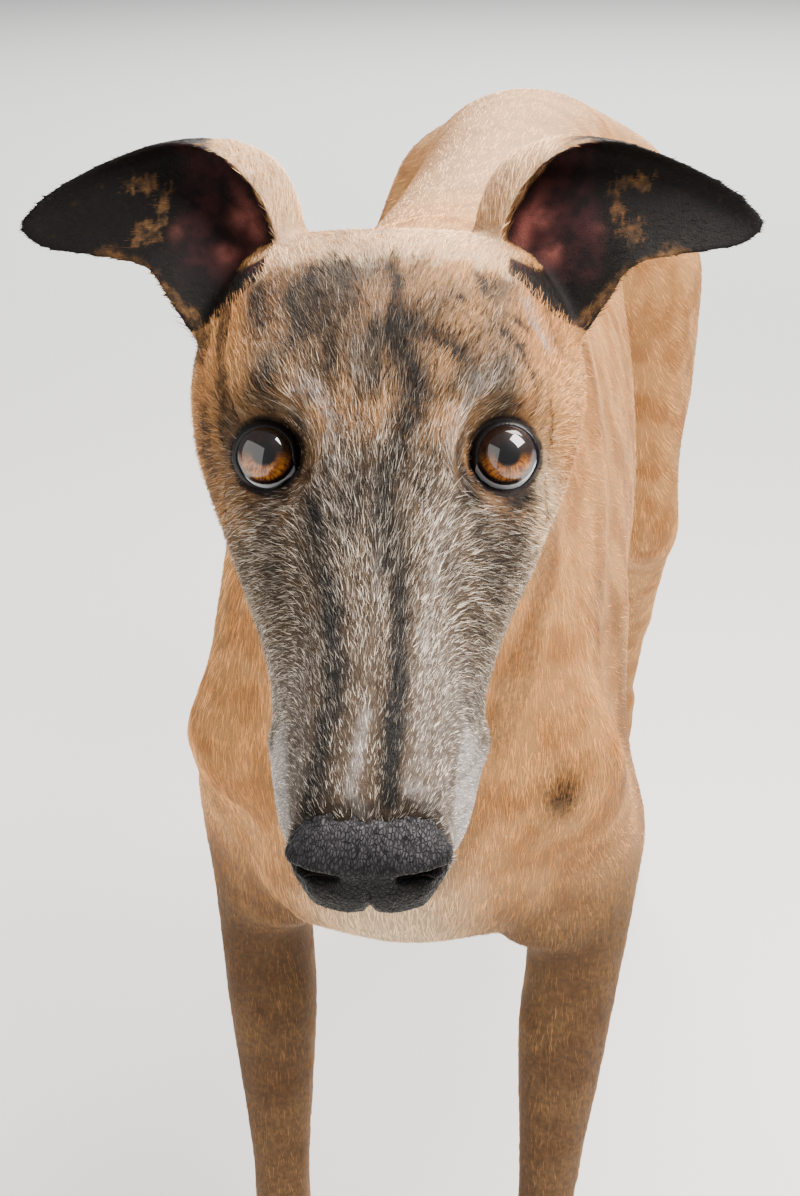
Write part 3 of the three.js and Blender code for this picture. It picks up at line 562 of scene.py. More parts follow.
# Height of the leather's forms in mm: nostrils, the shelf over them, lobes, groove, wrinkles and pebbles
def noseForms(h):
    a, r, u = h.T
    side = np.abs(r)
    hole, size, lobe = nose["nostril"], nose["nostrilSize"], nose["lobe"]
    level = u - hole[1] + 0.2 * (side - hole[0])
    slot = ((side - hole[0]) / size[0]) ** 2 + (level / size[1]) ** 2
    flat = np.stack([side, u, 0 * u], 1)
    comma = band(flat, [(16, -13, 0), (19.5, -15, 0), (21.5, -19, 0)], 1.0)
    ahead = smoothStep(a, 122, 130)
    depth = -6.5 * np.exp(-slot ** 2) * ahead - 1.5 * comma * smoothStep(a, 116, 122)
    beside = smoothStep(side, 4.5, 9)
    depth += (0.5 + 0.8 * beside) * bell(level - 3.4, 2.6) * smoothStep(24 - side, 0, 6) * ahead
    depth -= bell(level + 1.5, 3.0) * smoothStep(22 - side, 0, 5) * beside * ahead
    depth -= 1.6 * smoothStep(side, 13, 19) * smoothStep(-u, 15, 20) * ahead
    depth += 1.3 * np.exp(-((u - lobe[1]) / 3.6) ** 2 - ((side - lobe[0]) / 5.5) ** 2) * ahead
    groove = bell(r, 0.9) * smoothStep(-u, 12, 20) * ahead
    depth -= 1.3 * groove
    depth -= 0.9 * bell(r, 4.0) * smoothStep(-u, 8, 14) * ahead
    fan = np.arctan2(r, 14 - (u + 3))
    wrinkle = np.sin(fan * 46 + 1.5 * ripple(h, 8, 11)) * bell(u + 6, 6.5) * smoothStep(a, 119, 124)
    depth += 0.2 * wrinkle * bell(side, 15)
    pebble = ripple(h, 1.9, 12) * 0.5 + ripple(h, 1.25, 13) * 0.5
    depth += 0.15 * pebble * (1 - groove)
    return depth


# Soft forms on the head, mirrored: centre, radii and height in mm
headSpots = [
    ((-9, 31, 17), (9, 8, 8), 1.1), ((26, 24, 4), (10, 7, 8), -1.2), ((14, 22, 8), (7, 5, 6), -0.8),
    ((12, 38, -18), (10, 8, 7), 0.9), ((-30, 36, 19), (14, 9, 9), -0.9), ((-38, 19, 30), (12, 9, 8), 0.7),
    ((62, 22, -8), (15, 7, 6), -0.7), ((108, 21, -22), (13, 7, 8), 0.9), ((86, 27, -31), (8, 6, 5), 0.8),
    ((120, 11, -4), (7, 6, 5), 0.5),
]
# Folds and edges on the head, mirrored: line, width and height in mm
headRidges = [
    ([(8, 40, -20), (-12, 49, -13), (-38, 51, -8)], 5.5, 1.0),
    ([(38, 12, 9), (70, 10.5, 6), (108, 9, 2)], 3.5, 0.5),
    ([(40, 21, 0), (70, 18.5, -3), (102, 17, -7)], 5.0, -0.5),
    ([(-46, 1, 31), (-12, 1, 26), (34, 1, 14)], 3.2, -0.8),
    ([(70, 0, 7), (100, 0, 3.5), (118, 0, 0)], 2.6, -0.5),
    ([(26, 38, -19), (14, 44, -22), (-4, 50, -24)], 2.0, -0.5),
    ([(40, 30, -14), (60, 26, -20), (82, 24, -24)], 2.6, -0.4),
    ([(10, 26, -13), (22, 31, -14), (30, 36, -18)], 1.6, -0.45),
]
mouth = {"line": [(33, -44.5), (55, -42), (75, -41), (95, -39.5), (110, -37.6), (118, -36.6), (140, -34)],
         "width": 1.1, "depth": 1.7, "corner": 33}


def mouthShare(h):
    a, u = np.array(mouth["line"]).T
    level = np.interp(h[:, 0], a, u)
    ahead = smoothStep(h[:, 0], mouth["corner"] - 3, mouth["corner"] + 5)
    return bell(h[:, 2] - level, mouth["width"]) * ahead


def headForms(h):
    height = np.zeros(len(h))
    twoSided = h * [1, 0, 1] + np.abs(h) * [0, 1, 0]
    for centre, radii, rise in headSpots:
        height += rise * spot(twoSided, centre, radii)
    for line, width, rise in headRidges:
        height += rise * band(twoSided, line, width)
    height -= mouth["depth"] * mouthShare(h)
    height += 1.6 * spot(h, (82, 29, -29), (6, 6, 4)) + 0.8 * spot(h, (84, -27, -27), (4, 5, 3))
    height += 2.0 * spot(h, (9, 49, -19), (2.2, 3, 2.2))  # wart on the left cheek
    height -= 1.4 * bell(h[:, 1], 1.2) * smoothStep(h[:, 0], 120, 126) * smoothStep(-h[:, 2], 27, 31)
    return height * mm


# Forms of the body, mirrored, in mm from the middle of the trunk: across, along from the nose, and up
bodyForms = [
    ([(84, -195, 560), (66, -158, 660), (45, -140, 705)], 12, 1.6),
    ([(80, -215, 545), (84, -150, 470)], 12, 1.2),
    ([(97, -230, 505), (92, -190, 470)], 16, 1.0),
    ([(52, -120, 690), (86, -140, 600), (98, -170, 520)], 12, -1.5),
    ([(62, 255, 690), (54, 300, 712)], 16, 2.6), ([(70, 410, 640), (60, 440, 615)], 14, 2.0),
    ([(100, 330, 560), (98, 300, 480), (90, 285, 420)], 20, 1.6),
    ([(92, 370, 590), (86, 400, 500)], 14, -1.6),
    ([(88, 385, 330), (80, 470, 262)], 5, -1.2), ([(0, -100, 722), (0, 250, 745)], 5, 1.0),
    ([(14, -60, 722), (14, 260, 740)], 7, -0.7), ([(80, 300, 400), (60, 200, 470)], 16, -1.8),
    ([(62, -190, 330), (62, -205, 250)], 4, 0.7), ([(70, -190, 395), (74, -160, 420)], 8, 1.5),
]
ribs = {"first": -95, "step": 27, "lean": 0.35, "height": 0.9, "top": 665}


def bodyRise(points):
    p = toBody(points)
    two = np.abs(p) * [1, 0, 0] + p * [0, 1, 1]
    height = np.zeros(len(p))
    for line, width, rise in bodyForms:
        height += rise * band(two, line, width)
    along = two[:, 1] - ribs["first"] - ribs["lean"] * (ribs["top"] - two[:, 2])
    phase = np.cos(2 * math.pi * along / ribs["step"])
    span = smoothStep(along, -10, 25) * (1 - smoothStep(along, 215, 265))
    belt = smoothStep(two[:, 2], 400, 470) * (1 - smoothStep(two[:, 2], 620, 680))
    height += ribs["height"] * phase * span * belt
    return height * mm


# Skin: fine on the head and the paws, coarser on the body, and one closed surface in all
skin = {
    "swell": 0.3 * mm,  # closes the thin cuts between the solids
    "bodyVoxel": 3.3 * mm, "headVoxel": 0.95 * mm, "pawVoxel": 1.5 * mm,
    "neckCut": (0.1285, -0.023),  # behind and below the middle between the eyes
    "neckTilt": 21.2, "pawCut": 62 * mm,
    "headCoat": 0.35 * mm, "bodyCoat": 0.9 * mm,  # depth of the coat that lies over it
}
pairs = [f"_{side}" for side in sides]
legNodes = [leg + s for leg in ("foreleg", "hindleg") for s in pairs]
bodyNodes = ["torso", "neck", "tail_base", "tail_tip"] + legNodes
headNodes = ["head", "lower_jaw"] + ["ear" + s for s in pairs]
pawNodes = [paw + s for paw in ("forepaw", "hindpaw") for s in pairs]


def solids(nodes):
    return combined(*[swollen(nodeSurface(node), skin["swell"]) for node in nodes])


def makeBody():
    points, faces = remeshed(solids(bodyNodes + pawNodes), skin["bodyVoxel"])
    tail = smoothStep(points[:, 1], 0.452, 0.475) * smoothStep(points[:, 2], 0.12, 0.15)
    points = smoothed(points, faces, 5, 1 - 0.8 * tail)
    trunk = smoothStep(points[:, 2], 0.35, 0.47) * (1 - smoothStep(points[:, 1], 0.42, 0.455))
    points = smoothed(points, faces, 40, trunk, 0.6)
    return points + normalsOf(points, faces) * bodyRise(points)[:, None], faces


def makeHead():
    nodes = headNodes + ["neck", "eye_left", "eye_right", "nose"]
    points, faces = remeshed(solids(nodes), skin["headVoxel"])
    h = toHead(points)
    ear = smoothStep(np.abs(h[:, 1]), 50, 60) * smoothStep(-h[:, 0], 50, 62) * smoothStep(h[:, 2], -30, -12)
    front = smoothStep(h[:, 0], 104, 116)
    points = smoothed(points, faces, 5)
    points = smoothed(points, faces, 15, (1 - 0.85 * ear) * (1 - 0.95 * front))
    behind = smoothStep(-h[:, 0], 95, 120) * (1 - ear)
    points = smoothedNear(points, faces, 60, behind)
    h = toHead(points)
    return points + normalsOf(points, faces) * (headForms(h) * (1 - ear))[:, None], faces


def makePaw(node):
    points, faces = remeshed(solids([node, node.replace("paw", "leg")]), skin["pawVoxel"])
    return smoothed(points, faces, 3), faces


def makeSkin():
    body = makeBody()
    report(f"body surface, {len(body[1])} faces")
    head = makeHead()
    report(f"head surface, {len(head[1])} faces")
    back, below = skin["neckCut"]
    tilt = math.radians(skin["neckTilt"])
    neckAt = headOrigin + np.array([0.0, back, below])
    neckNormal = np.array([0.0, -math.cos(tilt), math.sin(tilt)])
    whole = zipped(cutBy(body, neckAt, -neckNormal), cutBy(head, neckAt, neckNormal), neckAt, neckNormal)
    for node in pawNodes:
        whole = withPaw(whole, node)
    points, faces = outerPart(*whole, int(whole[0][:, 1].argmin()))
    report(f"skin joined, {len(faces)} faces, {len(openLoops(faces))} open edges")
    seam = np.abs((points - neckAt) @ neckNormal)
    near = np.linalg.norm(points - neckAt, axis=1) < 0.2
    points = smoothedNear(points, faces, 40, (1 - smoothStep(seam, 0.006, 0.022)) * near)
    seam = np.abs(points[:, 2] - skin["pawCut"])
    return smoothedNear(points, faces, 10, 1 - smoothStep(seam, 0.003, 0.012)), faces


# Puts the fine paw in place of the coarse one below the cut through its leg
def withPaw(whole, node):
    points, faces = whole
    centre = middleOf(node)
    at = np.array([centre[0], centre[1], skin["pawCut"]])
    mine = (np.abs(points[:, 0] - centre[0]) < 0.05) & (np.abs(points[:, 1] - centre[1]) < 0.12)
    mine &= points[:, 2] < skin["pawCut"] + 0.02
    region = mine[faces].any(1)
    upper = cutBy(compact(points, faces[region]), at, (0, 0, 1))
    paw = cutBy(makePaw(node), at, (0, 0, -1))
    rest = compact(points, faces[~region])
    joined = zipped(upper, paw, at, (0.0, 0.0, 1.0))
    points, faces = combined(rest, joined)
    points, index = np.unique(np.round(points, 7), axis=0, return_inverse=True)
    return points, index.ravel()[faces]


# Under the open lids the skin sinks behind the eye, and round them it lies on the lids' level
def openLids(points):
    for side in sides:
        centre, gaze = eyeAxes(side)[:2]
        depth = (points - centre) @ gaze / mm
        aside = np.sqrt(np.maximum(((points - centre) ** 2).sum(1) / mm ** 2 - depth ** 2, 0))
        lid = (eye["radius"] + eye["lidHeight"]) ** 2 - aside ** 2
        lid = np.sqrt(np.maximum(lid, eye["wallDepth"] ** 2))
        share = (1 - smoothStep(aside, *eye["wall"])) * (depth > 0)
        points = points - gaze * (np.maximum(depth - lid, 0) * share * mm)[:, None]
        away, past = pastMargin(points, side)
        near = away < eye["skinReach"]
        raised = eye["lidHeight"] + np.clip(past - eye["lidFrom"], 0, 6) * 0.12
        level = eye["radius"] + np.where(past < eye["lidFrom"], -eye["behind"], raised)
        share = (1 - smoothStep(past, *eye["lidFade"])) * near
        share = share * smoothStep(eye["skinReach"] - away, 0, 5)
        moved = away + (level - away) * share
        points = centre + (points - centre) * (moved / np.maximum(away, 1e-9))[:, None]
    return points


def finishSkin(points, faces):
    points = openLids(points)
    h = toHead(points)
    onHead = smoothStep(h[:, 0], -110, -90)
    coat = skin["bodyCoat"] + (skin["headCoat"] - skin["bodyCoat"]) * onHead
    coat = coat * smoothStep(points[:, 2], 0.001, 0.006)
    leather = leatherShare(h) * onHead
    dents = np.maximum(-noseForms(h), 0)
    hollow = leather * (nose["sunk"] + 0.4 + 2.5 * smoothStep(leather, 0.7, 1) + 1.3 * dents)
    points = points - normalsOf(points, faces) * (coat + hollow * mm)[:, None]
    points[:, 2] = np.maximum(points[:, 2], 0.0002)
    return points


skinPoints, skinFaces = makeSkin()
skinPoints = finishSkin(skinPoints, skinFaces)
skinNormals = normalsOf(skinPoints, skinFaces)
report("skin")


def headShare(h):
    skull = smoothStep(h[:, 0], -112, -92) * smoothStep(h[:, 2], -95, -80)
    return np.maximum(skull, smoothStep(np.abs(h[:, 1]), 42, 50) * smoothStep(h[:, 2], -36, -24))


# Markings of the ears in mm: how far out the rim lies at each height, then patches as place and radii. The
# last patches, pink in the cup, are painted highlights on its shiny skin
earMarks = {
    "rim": [(30, 70), (36, 58), (39, 50), (45.5, 42), (51, 36.5), (57, 35.5), (66, 36.5), (74, 39), (82, 44),
            (90, 51)],
    "paleHair": [((75, 81), (8, 4)), ((74, 66), (6, 5.5)), ((70, 73), (3, 9))],
    "fringe": [(56, 36, 0), (66, 46, 0), (76, 55, 0), (88, 60, 0)],
    "cupHighlight": [((46, 71), (4, 3)), ((68, 67), (4, 3)), ((50, 60), (3, 3))],
}
# Markings of the face, some of them painted light and shade: line in head coordinates, half width in mm and
# share
faceMarks = {
    "silverAndSheen": [
        ([(-7, 30, 18), (-4, 26, 19.5), (6, 22, 16), (14, 19, 12)], 4.0, 0.46),
        ([(-6, -24, 18.5), (-1, -18, 21), (8, -14, 19.5)], 3.8, 0.5),
        ([(8, -14, 19.5), (24, -11, 14)], 4.0, 0.4),
        ([(40, 14, 7), (58, 14, 4)], 6.0, 0.3), ([(70, 14, 3), (96, 14, 1), (112, 13, -1)], 6.0, 0.34),
        # the first mark on the next line, beside the nose on the dog's left, is a painted highlight: the wet
        # sheen where hair meets leather
        ([(117, 10, -2), (121, 15, -4)], 4.2, 0.42), ([(96, -19, -4), (112, -19, -7)], 4.0, 0.5),
        ([(-34, -1, 30), (-16, -6, 27.5), (-2, -7, 23)], 3.4, 0.25),
        ([(36, 1, 13.5), (58, 0.5, 10)], 3.0, 0.4),
        ([(-40, 42, 20), (-30, 47, 12)], 3.5, 0.5), ([(10, 47, -8), (28, 42, -16)], 5.0, 0.5),
    ],
    "darkAndShade": [
        ([(-46, 1.5, 31), (-29, 2.5, 30), (-14, 4, 26)], 3.2, 0.95),
        ([(-16, 6, 26), (4, 8, 21), (20, 6, 17)], 7.4, 0.86), ([(0, -6, 21), (20, -5, 17)], 5, 0.5),
        ([(-21, 6, 28), (-17, 14, 26.5), (-13, 22, 23.5)], 5.6, 0.88),
        ([(-40, -13, 29.5), (-24, -9, 29)], 6.5, 0.6),
        ([(20, 3, 16.5), (38, 2, 13), (56, 4, 9)], 6.6, 0.85), ([(22, -5, 16.5), (44, -6, 11)], 4.6, 0.7),
        ([(-44, -18, 28.5), (-36, -28, 26), (-28, -38, 18)], 4.5, 0.5),
        ([(-46, 10, 30), (-32, 9, 29.5)], 2.6, 0.5),
        ([(-43, 24, 28), (-37, 30, 26.5), (-31.5, 35, 24), (-29, 42, 18)], 2.3, 0.85),
        ([(-31, 22, 28.5), (-27, 30, 25.5), (-22, 38.5, 19), (-13, 42.5, 13), (-8, 45, 8)], 2.2, 0.9),
        ([(-36, 15, 29), (-28, 20, 27.5), (-20, 29, 23.5)], 1.3, 0.6),
        ([(-44, 47, 13), (-30, 50, 8)], 2.6, 0.6),
        ([(-24, -20, 27), (-14, -32, 20), (-4, -39, 12)], 3.4, 0.5),
        ([(-36, -38, 20), (-22, -44, 12), (-8, -46, 4)], 3.0, 0.45),
        # the next three lines, dark bands beside the muzzle's ridge, are dark hair with the painted shade of
        # the muzzle's form on it
        ([(30, -19, 9), (52, -15, 8), (72, -10, 6.5), (97, -10.5, 4)], 5.4, 0.92),
        ([(97, -11, 3.5), (112, -13, 0), (123, -14, -5)], 5.8, 0.88),
        ([(60, 6, 9), (74, 6.5, 7), (92, 6.5, 4.5), (108, 5.5, 2), (122, 5, -1.5)], 3.4, 1.0),
        ([(14, -12, 18), (34, -14, 11)], 4.6, 0.55), ([(18, 13, 15), (34, 11, 12)], 4.6, 0.6),
        ([(8, 24, 9), (22, 24, 2)], 5.4, 0.9), ([(10, -24, 9), (22, -22, 4)], 5.2, 0.8),
        ([(16, 27, -6), (16, 36, -10), (10, 43, -10)], 4.8, 0.85),
        ([(16, -28, -6), (15, -36, -8)], 4.8, 0.8),
        ([(24, 30, -6), (38, 29, -12)], 5.0, 0.6), ([(24, -30, -6), (40, -30, -12)], 5.0, 0.5),
        ([(56, 29, -10), (62, 29, -13)], 4.0, 0.65), ([(40, 24, 0), (52, 23, -3)], 3.0, 0.5),
    ],
}


# The largest of several shares, point by point
def most(*shares):
    return reduce(np.maximum, shares)


# Shares of the ear and its cup, the height along the ear, and shares of the patches in the cup: pale hair,
# fringe and the pink of painted highlights
def earPattern(h, n, fine, onHead):
    a, r, u = h.T
    side = np.abs(r)
    ear = smoothStep(side, 49, 58) * smoothStep(-a, 52, 64) * smoothStep(u, -26, -12) * onHead
    # the cup faces forward and begins at the rim, which lies further out or in for each height
    height = (u - a) / math.sqrt(2)
    inwards = n[:, 0] + 0.6 * n[:, 1] * np.sign(r)
    fromRim = side - np.interp(height, *np.array(earMarks["rim"]).T)
    cup = smoothStep(inwards, 0.08, 0.26) * smoothStep(fromRim + 0.5 * fine, -1.0, 1.0)
    cup = cup * smoothStep(-a, 38, 43) * smoothStep(u, -20, -12) * onHead
    flat = np.stack([side, height, 0 * side], 1)
    tufty = most(*[spot(flat, (*centre, 0), (*radii, 1)) for centre, radii in earMarks["paleHair"]])
    tufty = smoothStep(tufty + 0.35 * ripple(h * [1, 2.2, 1], 5, 14), 0.45, 0.75) * cup
    fringe = band(flat, earMarks["fringe"], 2.6) * cup
    # a pink band inside the rim and pink patches in the cup: painted highlights on its shiny skin
    cupHighlight = bell(fromRim - 4.5, 2.6) * spot(flat * [0, 1, 0], (0, 68, 0), (1, 9, 1))
    cupHighlight = most(cupHighlight, *[spot(flat, (*centre, 0), (*radii, 1)) for centre, radii in earMarks["cupHighlight"]])
    return ear, cup, height, tufty, fringe, cupHighlight


# Shares of the coat's colours on the face, the painted light and shade among them
def facePattern(h, soft, fine, ear):
    a, r, u = h.T
    side = np.abs(r)
    two = np.stack([a, side, u], 1)
    wobble = h + np.stack([ripple(h, 30, 3), ripple(h, 24, 4), ripple(h, 28, 5)], 1) * 1.6
    ridge = h + np.stack([0 * a, 0.5 * ripple(h, 14, 15), 0 * a], 1)
    forehead = smoothStep(-a, -30, 6) * smoothStep(a + 3 * soft, -54, -38) * (1 - smoothStep(side, 34, 46))
    grey = most(smoothStep(a + 0.25 * (14 - np.abs(side - 14)) + 5 * soft, -14, 30),
                0.8 * spot(two, (-2, 24, 10), (14, 12, 14)), 0.95 * spot(h, (2, -33, -2), (25, 21, 26)),
                0.75 * spot(h, (2, 34, -2), (22, 16, 22)),
                (0.82 + 0.25 * soft - 0.06 * np.sign(r)) * forehead)
    # the top at the back of the skull and the dog's left side of the face are painted cream as light falls
    # on them; the lower sides of the face are cream hair
    creamAndLight = most(0.5 * smoothStep(-a + 3 * fine, 42, 48) * smoothStep(u, 8, 24) * (1 - ear),
                 0.75 * smoothStep(r, 37, 46) * smoothStep(a, -10, 8) * (1 - smoothStep(a, 50, 64)),
                 0.3 * smoothStep(side, 20, 34) * smoothStep(-u, 4, 24) * smoothStep(a, 10, 40))
    # the pale line along the muzzle's ridge is grey hair with the painted highlight of the muzzle's form on
    # it
    silverAndSheen = most(0.3 * band(ridge, [(56, -0.5, 9.5), (72, 0.5, 7.5), (86, 0, 6), (98, -1, 4)], 1.6),
                  0.5 * band(ridge, [(98, -1, 4), (111, -3, 1.5), (120, -4.5, -1), (126, -1, -3)], 2.6),
                  *[share * band(wobble, line, width) for line, width, share in faceMarks["silverAndSheen"]],
                  0.34 * smoothStep(side, 8, 20) * smoothStep(a, 44, 84),
                  1.15 * smoothStep(side, 18, 23) * smoothStep(a, 80, 96) * smoothStep(-u, 8, 17))
    brindle = smoothStep(ripple(h * [0.6, 1.3, 1], 15, 9) + 0.25 * soft, -0.1, 0.5)
    grain = smoothStep(ripple(h * [0.7, 1, 1], 3.4, 6), 0.2, 0.65) * smoothStep(a, 6, 40)
    lines = [share * band(ridge if line[0][0] > 59 else wobble, line, width)
             for line, width, share in faceMarks["darkAndShade"]]
    darkAndShade = most(*lines, (0.5 - 0.16 * np.sign(r)) * brindle * smoothStep(-a, -34, 10) * (1 - creamAndLight),
                0.6 * brindle * smoothStep(a, 6, 24) * (1 - smoothStep(a, 44, 66)) * (1 - silverAndSheen),
                0.9 * spot(h, (9, 49, -19), (3, 4, 3)), 0.85 * mouthShare(h),
                0.6 * leatherShare(h + [5, 0, 0]) * (1 - smoothStep(side, 18, 24)),
                0.5 * grain * smoothStep(side, 10, 18))
    return grey, creamAndLight, silverAndSheen, darkAndShade


# Adds the body's markings to the head's, with painted light on the top of the back and painted shade on the
# front of the forelegs and chest
def withBody(points, normals, onHead, grey, creamAndLight, darkAndShade, bare):
    body = 1 - onHead
    p = toBody(points)
    low = 1 - smoothStep(p[:, 2], 380, 470)
    fore = 1 - smoothStep(p[:, 1], -150, -100)
    smudge = smoothStep(ripple(p * [1, 1.6, 0.6], 90, 7), 0.15, 0.75)
    stripes = smoothStep(ripple(p * [0.6, 2.0, 0.5], 60, 8), 0.2, 0.8)
    darkAndShade = most(darkAndShade * onHead + body * 0.42 * smudge * fore,
                # where the low forelegs and chest face forward they are painted darker: painted shade
                body * 0.5 * low * fore * smoothStep(-normals[:, 1], -0.2, 0.5),
                body * 0.75 * spot(p, (74, -256, 493), (10, 30, 20)), body * 0.22 * stripes * (1 - fore))
    grey = np.maximum(grey * onHead, body * 0.6 * low * fore)
    chest = spot(p, (0, -270, 430), (42, 40, 80)) + spot(p, (0, -60, 380), (55, 190, 60))
    # where the back faces up it is painted pale: painted light from above; the chest is pale hair
    top = smoothStep(normals[:, 2], 0.35, 0.9) * smoothStep(p[:, 2], 560, 650)
    pale = np.clip(0.75 * chest + 0.42 * top * smoothStep(p[:, 1], -180, 60), 0, 0.9)
    creamAndLight = np.maximum(creamAndLight * onHead + body * pale, body * 0.4 * (1 - smoothStep(p[:, 2], 20, 70)))
    bare = np.maximum(bare * onHead, body * (1 - smoothStep(p[:, 2], 1, 5)))
    return grey, creamAndLight, darkAndShade, bare


# Where the coat takes each of its colours, the painted light and shade among them, by shares from 0 to 1
def pattern(points, normals):
    h = toHead(points)
    r, side = h[:, 1], np.abs(h[:, 1])
    soft, fine = ripple(h, 26, 1), ripple(h, 9, 2)
    onHead = headShare(h)
    n = headNormals(normals)
    ear, cup, height, tufty, fringe, cupHighlight = earPattern(h, n, fine, onHead)
    grey, creamAndLight, silverAndSheen, darkAndShade = facePattern(h, soft, fine, ear)
    onTop = smoothStep(n[:, 2], 0.1, 0.6)
    border = np.where(r < 0, 74 - 20 * onTop, 84 - 26 * onTop)
    tip = smoothStep(side + 4 * fine + 2 * soft, border - 5, border + 5)
    outside = (1 - cup) * ear
    back = outside * (1 - tip)
    grey = grey * (1 - ear) * (1 - cup)
    darkAndShade = darkAndShade * (1 - ear) * (1 - cup) + outside * (0.97 * tip + np.where(r < 0, 0.15, 0.4) * (1 - tip))
    darkAndShade = darkAndShade + cup * (0.99 - 0.03 * fine - 0.24 * tufty - 0.26 * fringe)
    # the backs of the ears are painted pale, the dog's right ear more: painted light from above
    creamAndLight = creamAndLight * (1 - ear) * (1 - cup) + back * np.where(r < 0, 0.75, 0.35)
    creamAndLight = creamAndLight + cup * (0.2 * tufty + 0.1 * fringe)
    silverAndSheen = silverAndSheen * (1 - ear) * (1 - cup)
    deep = (1 - smoothStep(side + 2 * soft, 60, 68)) * smoothStep(height, 47, 56)
    bare = cup * deep * (1 - tufty)
    for name in sides:
        away, past = pastMargin(points, name)
        near = away < 20
        over = np.clip(np.sin(np.radians(eyePolar(points, name)[2])), 0, 1)
        wide = 1.5 + eye[name]["upperBare"] * over
        bare = np.maximum(bare, (1 - smoothStep(past - wide, -0.2, 0.8)) * near)
        darkAndShade = np.maximum(darkAndShade, 0.85 * (1 - smoothStep(past + 1.2 * fine, 2.6, 8.0)) * near)
    leather = leatherShare(h) * onHead
    bare = np.maximum(bare, smoothStep(leather, 0.5, 1.0))
    grey, creamAndLight, darkAndShade, bare = withBody(points, normals, onHead, grey, creamAndLight, darkAndShade, bare)
    return {"grey": grey, "creamAndLight": creamAndLight, "silverAndSheen": silverAndSheen * onHead, "darkAndShade": darkAndShade, "bare": bare, "cup": cup,
            "leather": leather, "onHead": onHead, "cupHighlight": cupHighlight * cup}


def headNormals(normals):
    local = normals @ headTurn
    return np.stack([-local[..., 1], local[..., 0], local[..., 2]], -1)


def addPattern(mesh, marks):
    main = np.stack([marks["grey"], marks["creamAndLight"], marks["silverAndSheen"], marks["darkAndShade"]], 1)
    addAttribute(mesh, "marks", main)
    addAttribute(mesh, "bare", marks["bare"])


skinMarks = pattern(skinPoints, skinNormals)
report("markings")


# Colours of hair and skin. Cream, silver and dark also serve for painted light and shade, and the skin's
# darkening under the coat is partly painted shade between the tufts
hair = {
    "fawn": linear(230, 168, 104), "fawnDeep": linear(198, 136, 78), "grey": linear(92, 74, 56),
    "creamAndLight": linear(246, 214, 174), "silverAndSheen": linear(182, 173, 168), "darkAndShade": linear(15, 11, 9),
    "pale": linear(228, 215, 198), "pepper": linear(26, 20, 17), "under": 0.46,
}
# the pink of the cup is a painted highlight on its shiny skin
bareSkin = {"lid": linear(34, 27, 26), "cup": linear(44, 20, 22), "cupHighlightPink": linear(128, 74, 68),
            "cupDark": linear(18, 9, 10)}


def coatColour(f):
    marks = f.attribute("marks", "Color")
    grey, creamAndLight, silverAndSheen = [f.node("SeparateColor", {}, {"Color": marks}, part) for part in range(3)]
    darkAndShade = f.attribute("marks", "Alpha")
    patch = f.noise(38, 3)
    edge = f.noise(420, 2) - 0.5
    colour = f.mix(hair["fawn"], hair["fawnDeep"], f.between(patch, 0.4, 0.65))
    colour = f.mix(colour, hair["grey"], grey)
    colour = f.mix(colour, hair["creamAndLight"], f.between(creamAndLight + edge * 0.5, 0.05, 0.95))
    colour = f.mix(colour, hair["silverAndSheen"], f.between(silverAndSheen + edge * 0.6, 0.1, 0.9))
    colour = f.mix(colour, hair["darkAndShade"], f.between(darkAndShade + edge * 0.5, 0.12, 0.95))
    return colour, grey, silverAndSheen, darkAndShade


def makeHide():
    f = Finish("hide", Roughness=0.66, Specular_IOR_Level=0.16)
    colour = coatColour(f)[0]
    # the skin under the coat is darkened: darker hair roots, and painted shade between the tufts
    under = hair["under"]
    colour = f.mix(colour, (under, under, under), 1.0, "MULTIPLY")
    strands = f.noise(1500, 3, (1, 0.22, 1))
    colour = f.mix(colour, hair["pepper"], f.between(strands, 0.5, 0.75, (0, 0.45)))
    mottle = f.noise(160, 4)
    inside = f.mix(bareSkin["cupDark"], bareSkin["cup"], f.between(mottle, 0.35, 0.62))
    # pink patches in the ear's cup: painted highlights
    cupHighlight = f.attribute("cupHighlight") * f.between(mottle, 0.3, 0.6, (0.35, 0.95))
    inside = f.mix(inside, bareSkin["cupHighlightPink"], cupHighlight)
    naked = f.mix(bareSkin["lid"], inside, f.attribute("cup"))
    colour = f.mix(colour, naked, f.attribute("bare"))
    f.set(Base_Color=colour)
    grain = f.noise(2600, 3, (1, 0.3, 1))
    f.bump(grain + 0.6 * f.noise(700, 3), 0.0006, 0.5)
    return f.material


def makeCoatFinish():
    f = Finish("coat", Roughness=0.5, Specular_IOR_Level=0.12)
    colour, grey, silverAndSheen, darkAndShade = coatColour(f)
    tone = f.attribute("tone")
    mixed = f.between(grey + silverAndSheen * 0.6, 0.1, 0.8)
    onFace = f.attribute("onFace")
    pale = f.between(tone, 0.55, 1.0) * (mixed * 0.8 + 0.1) * (1 - darkAndShade * 0.8)
    colour = f.mix(colour, hair["pale"], pale * f.attribute("greying"))
    pepper = f.between(tone, 0.5, 0.0) * (mixed * 0.7 + 0.3) * (1 - silverAndSheen * 0.6)
    colour = f.mix(colour, hair["pepper"], pepper * onFace)
    shade = f.between(f.attribute("shade"), 0, 1, (0.35, 1.45))
    f.set(Base_Color=f.mix(colour, shade, 1.0, "MULTIPLY"))
    f.set(Roughness=f.between(tone, 0, 1, (0.45, 0.65)))
    return f.material


hide = makeHide()
coatFinish = makeCoatFinish()
skinMesh = meshFrom("skin", skinPoints, skinFaces)
addPattern(skinMesh, skinMarks)
for part in ("cup", "cupHighlight"):
    addAttribute(skinMesh, part, skinMarks[part])
placed("skin", skinMesh, hide, bodyNodes + headNodes + pawNodes)
report("skin placed")


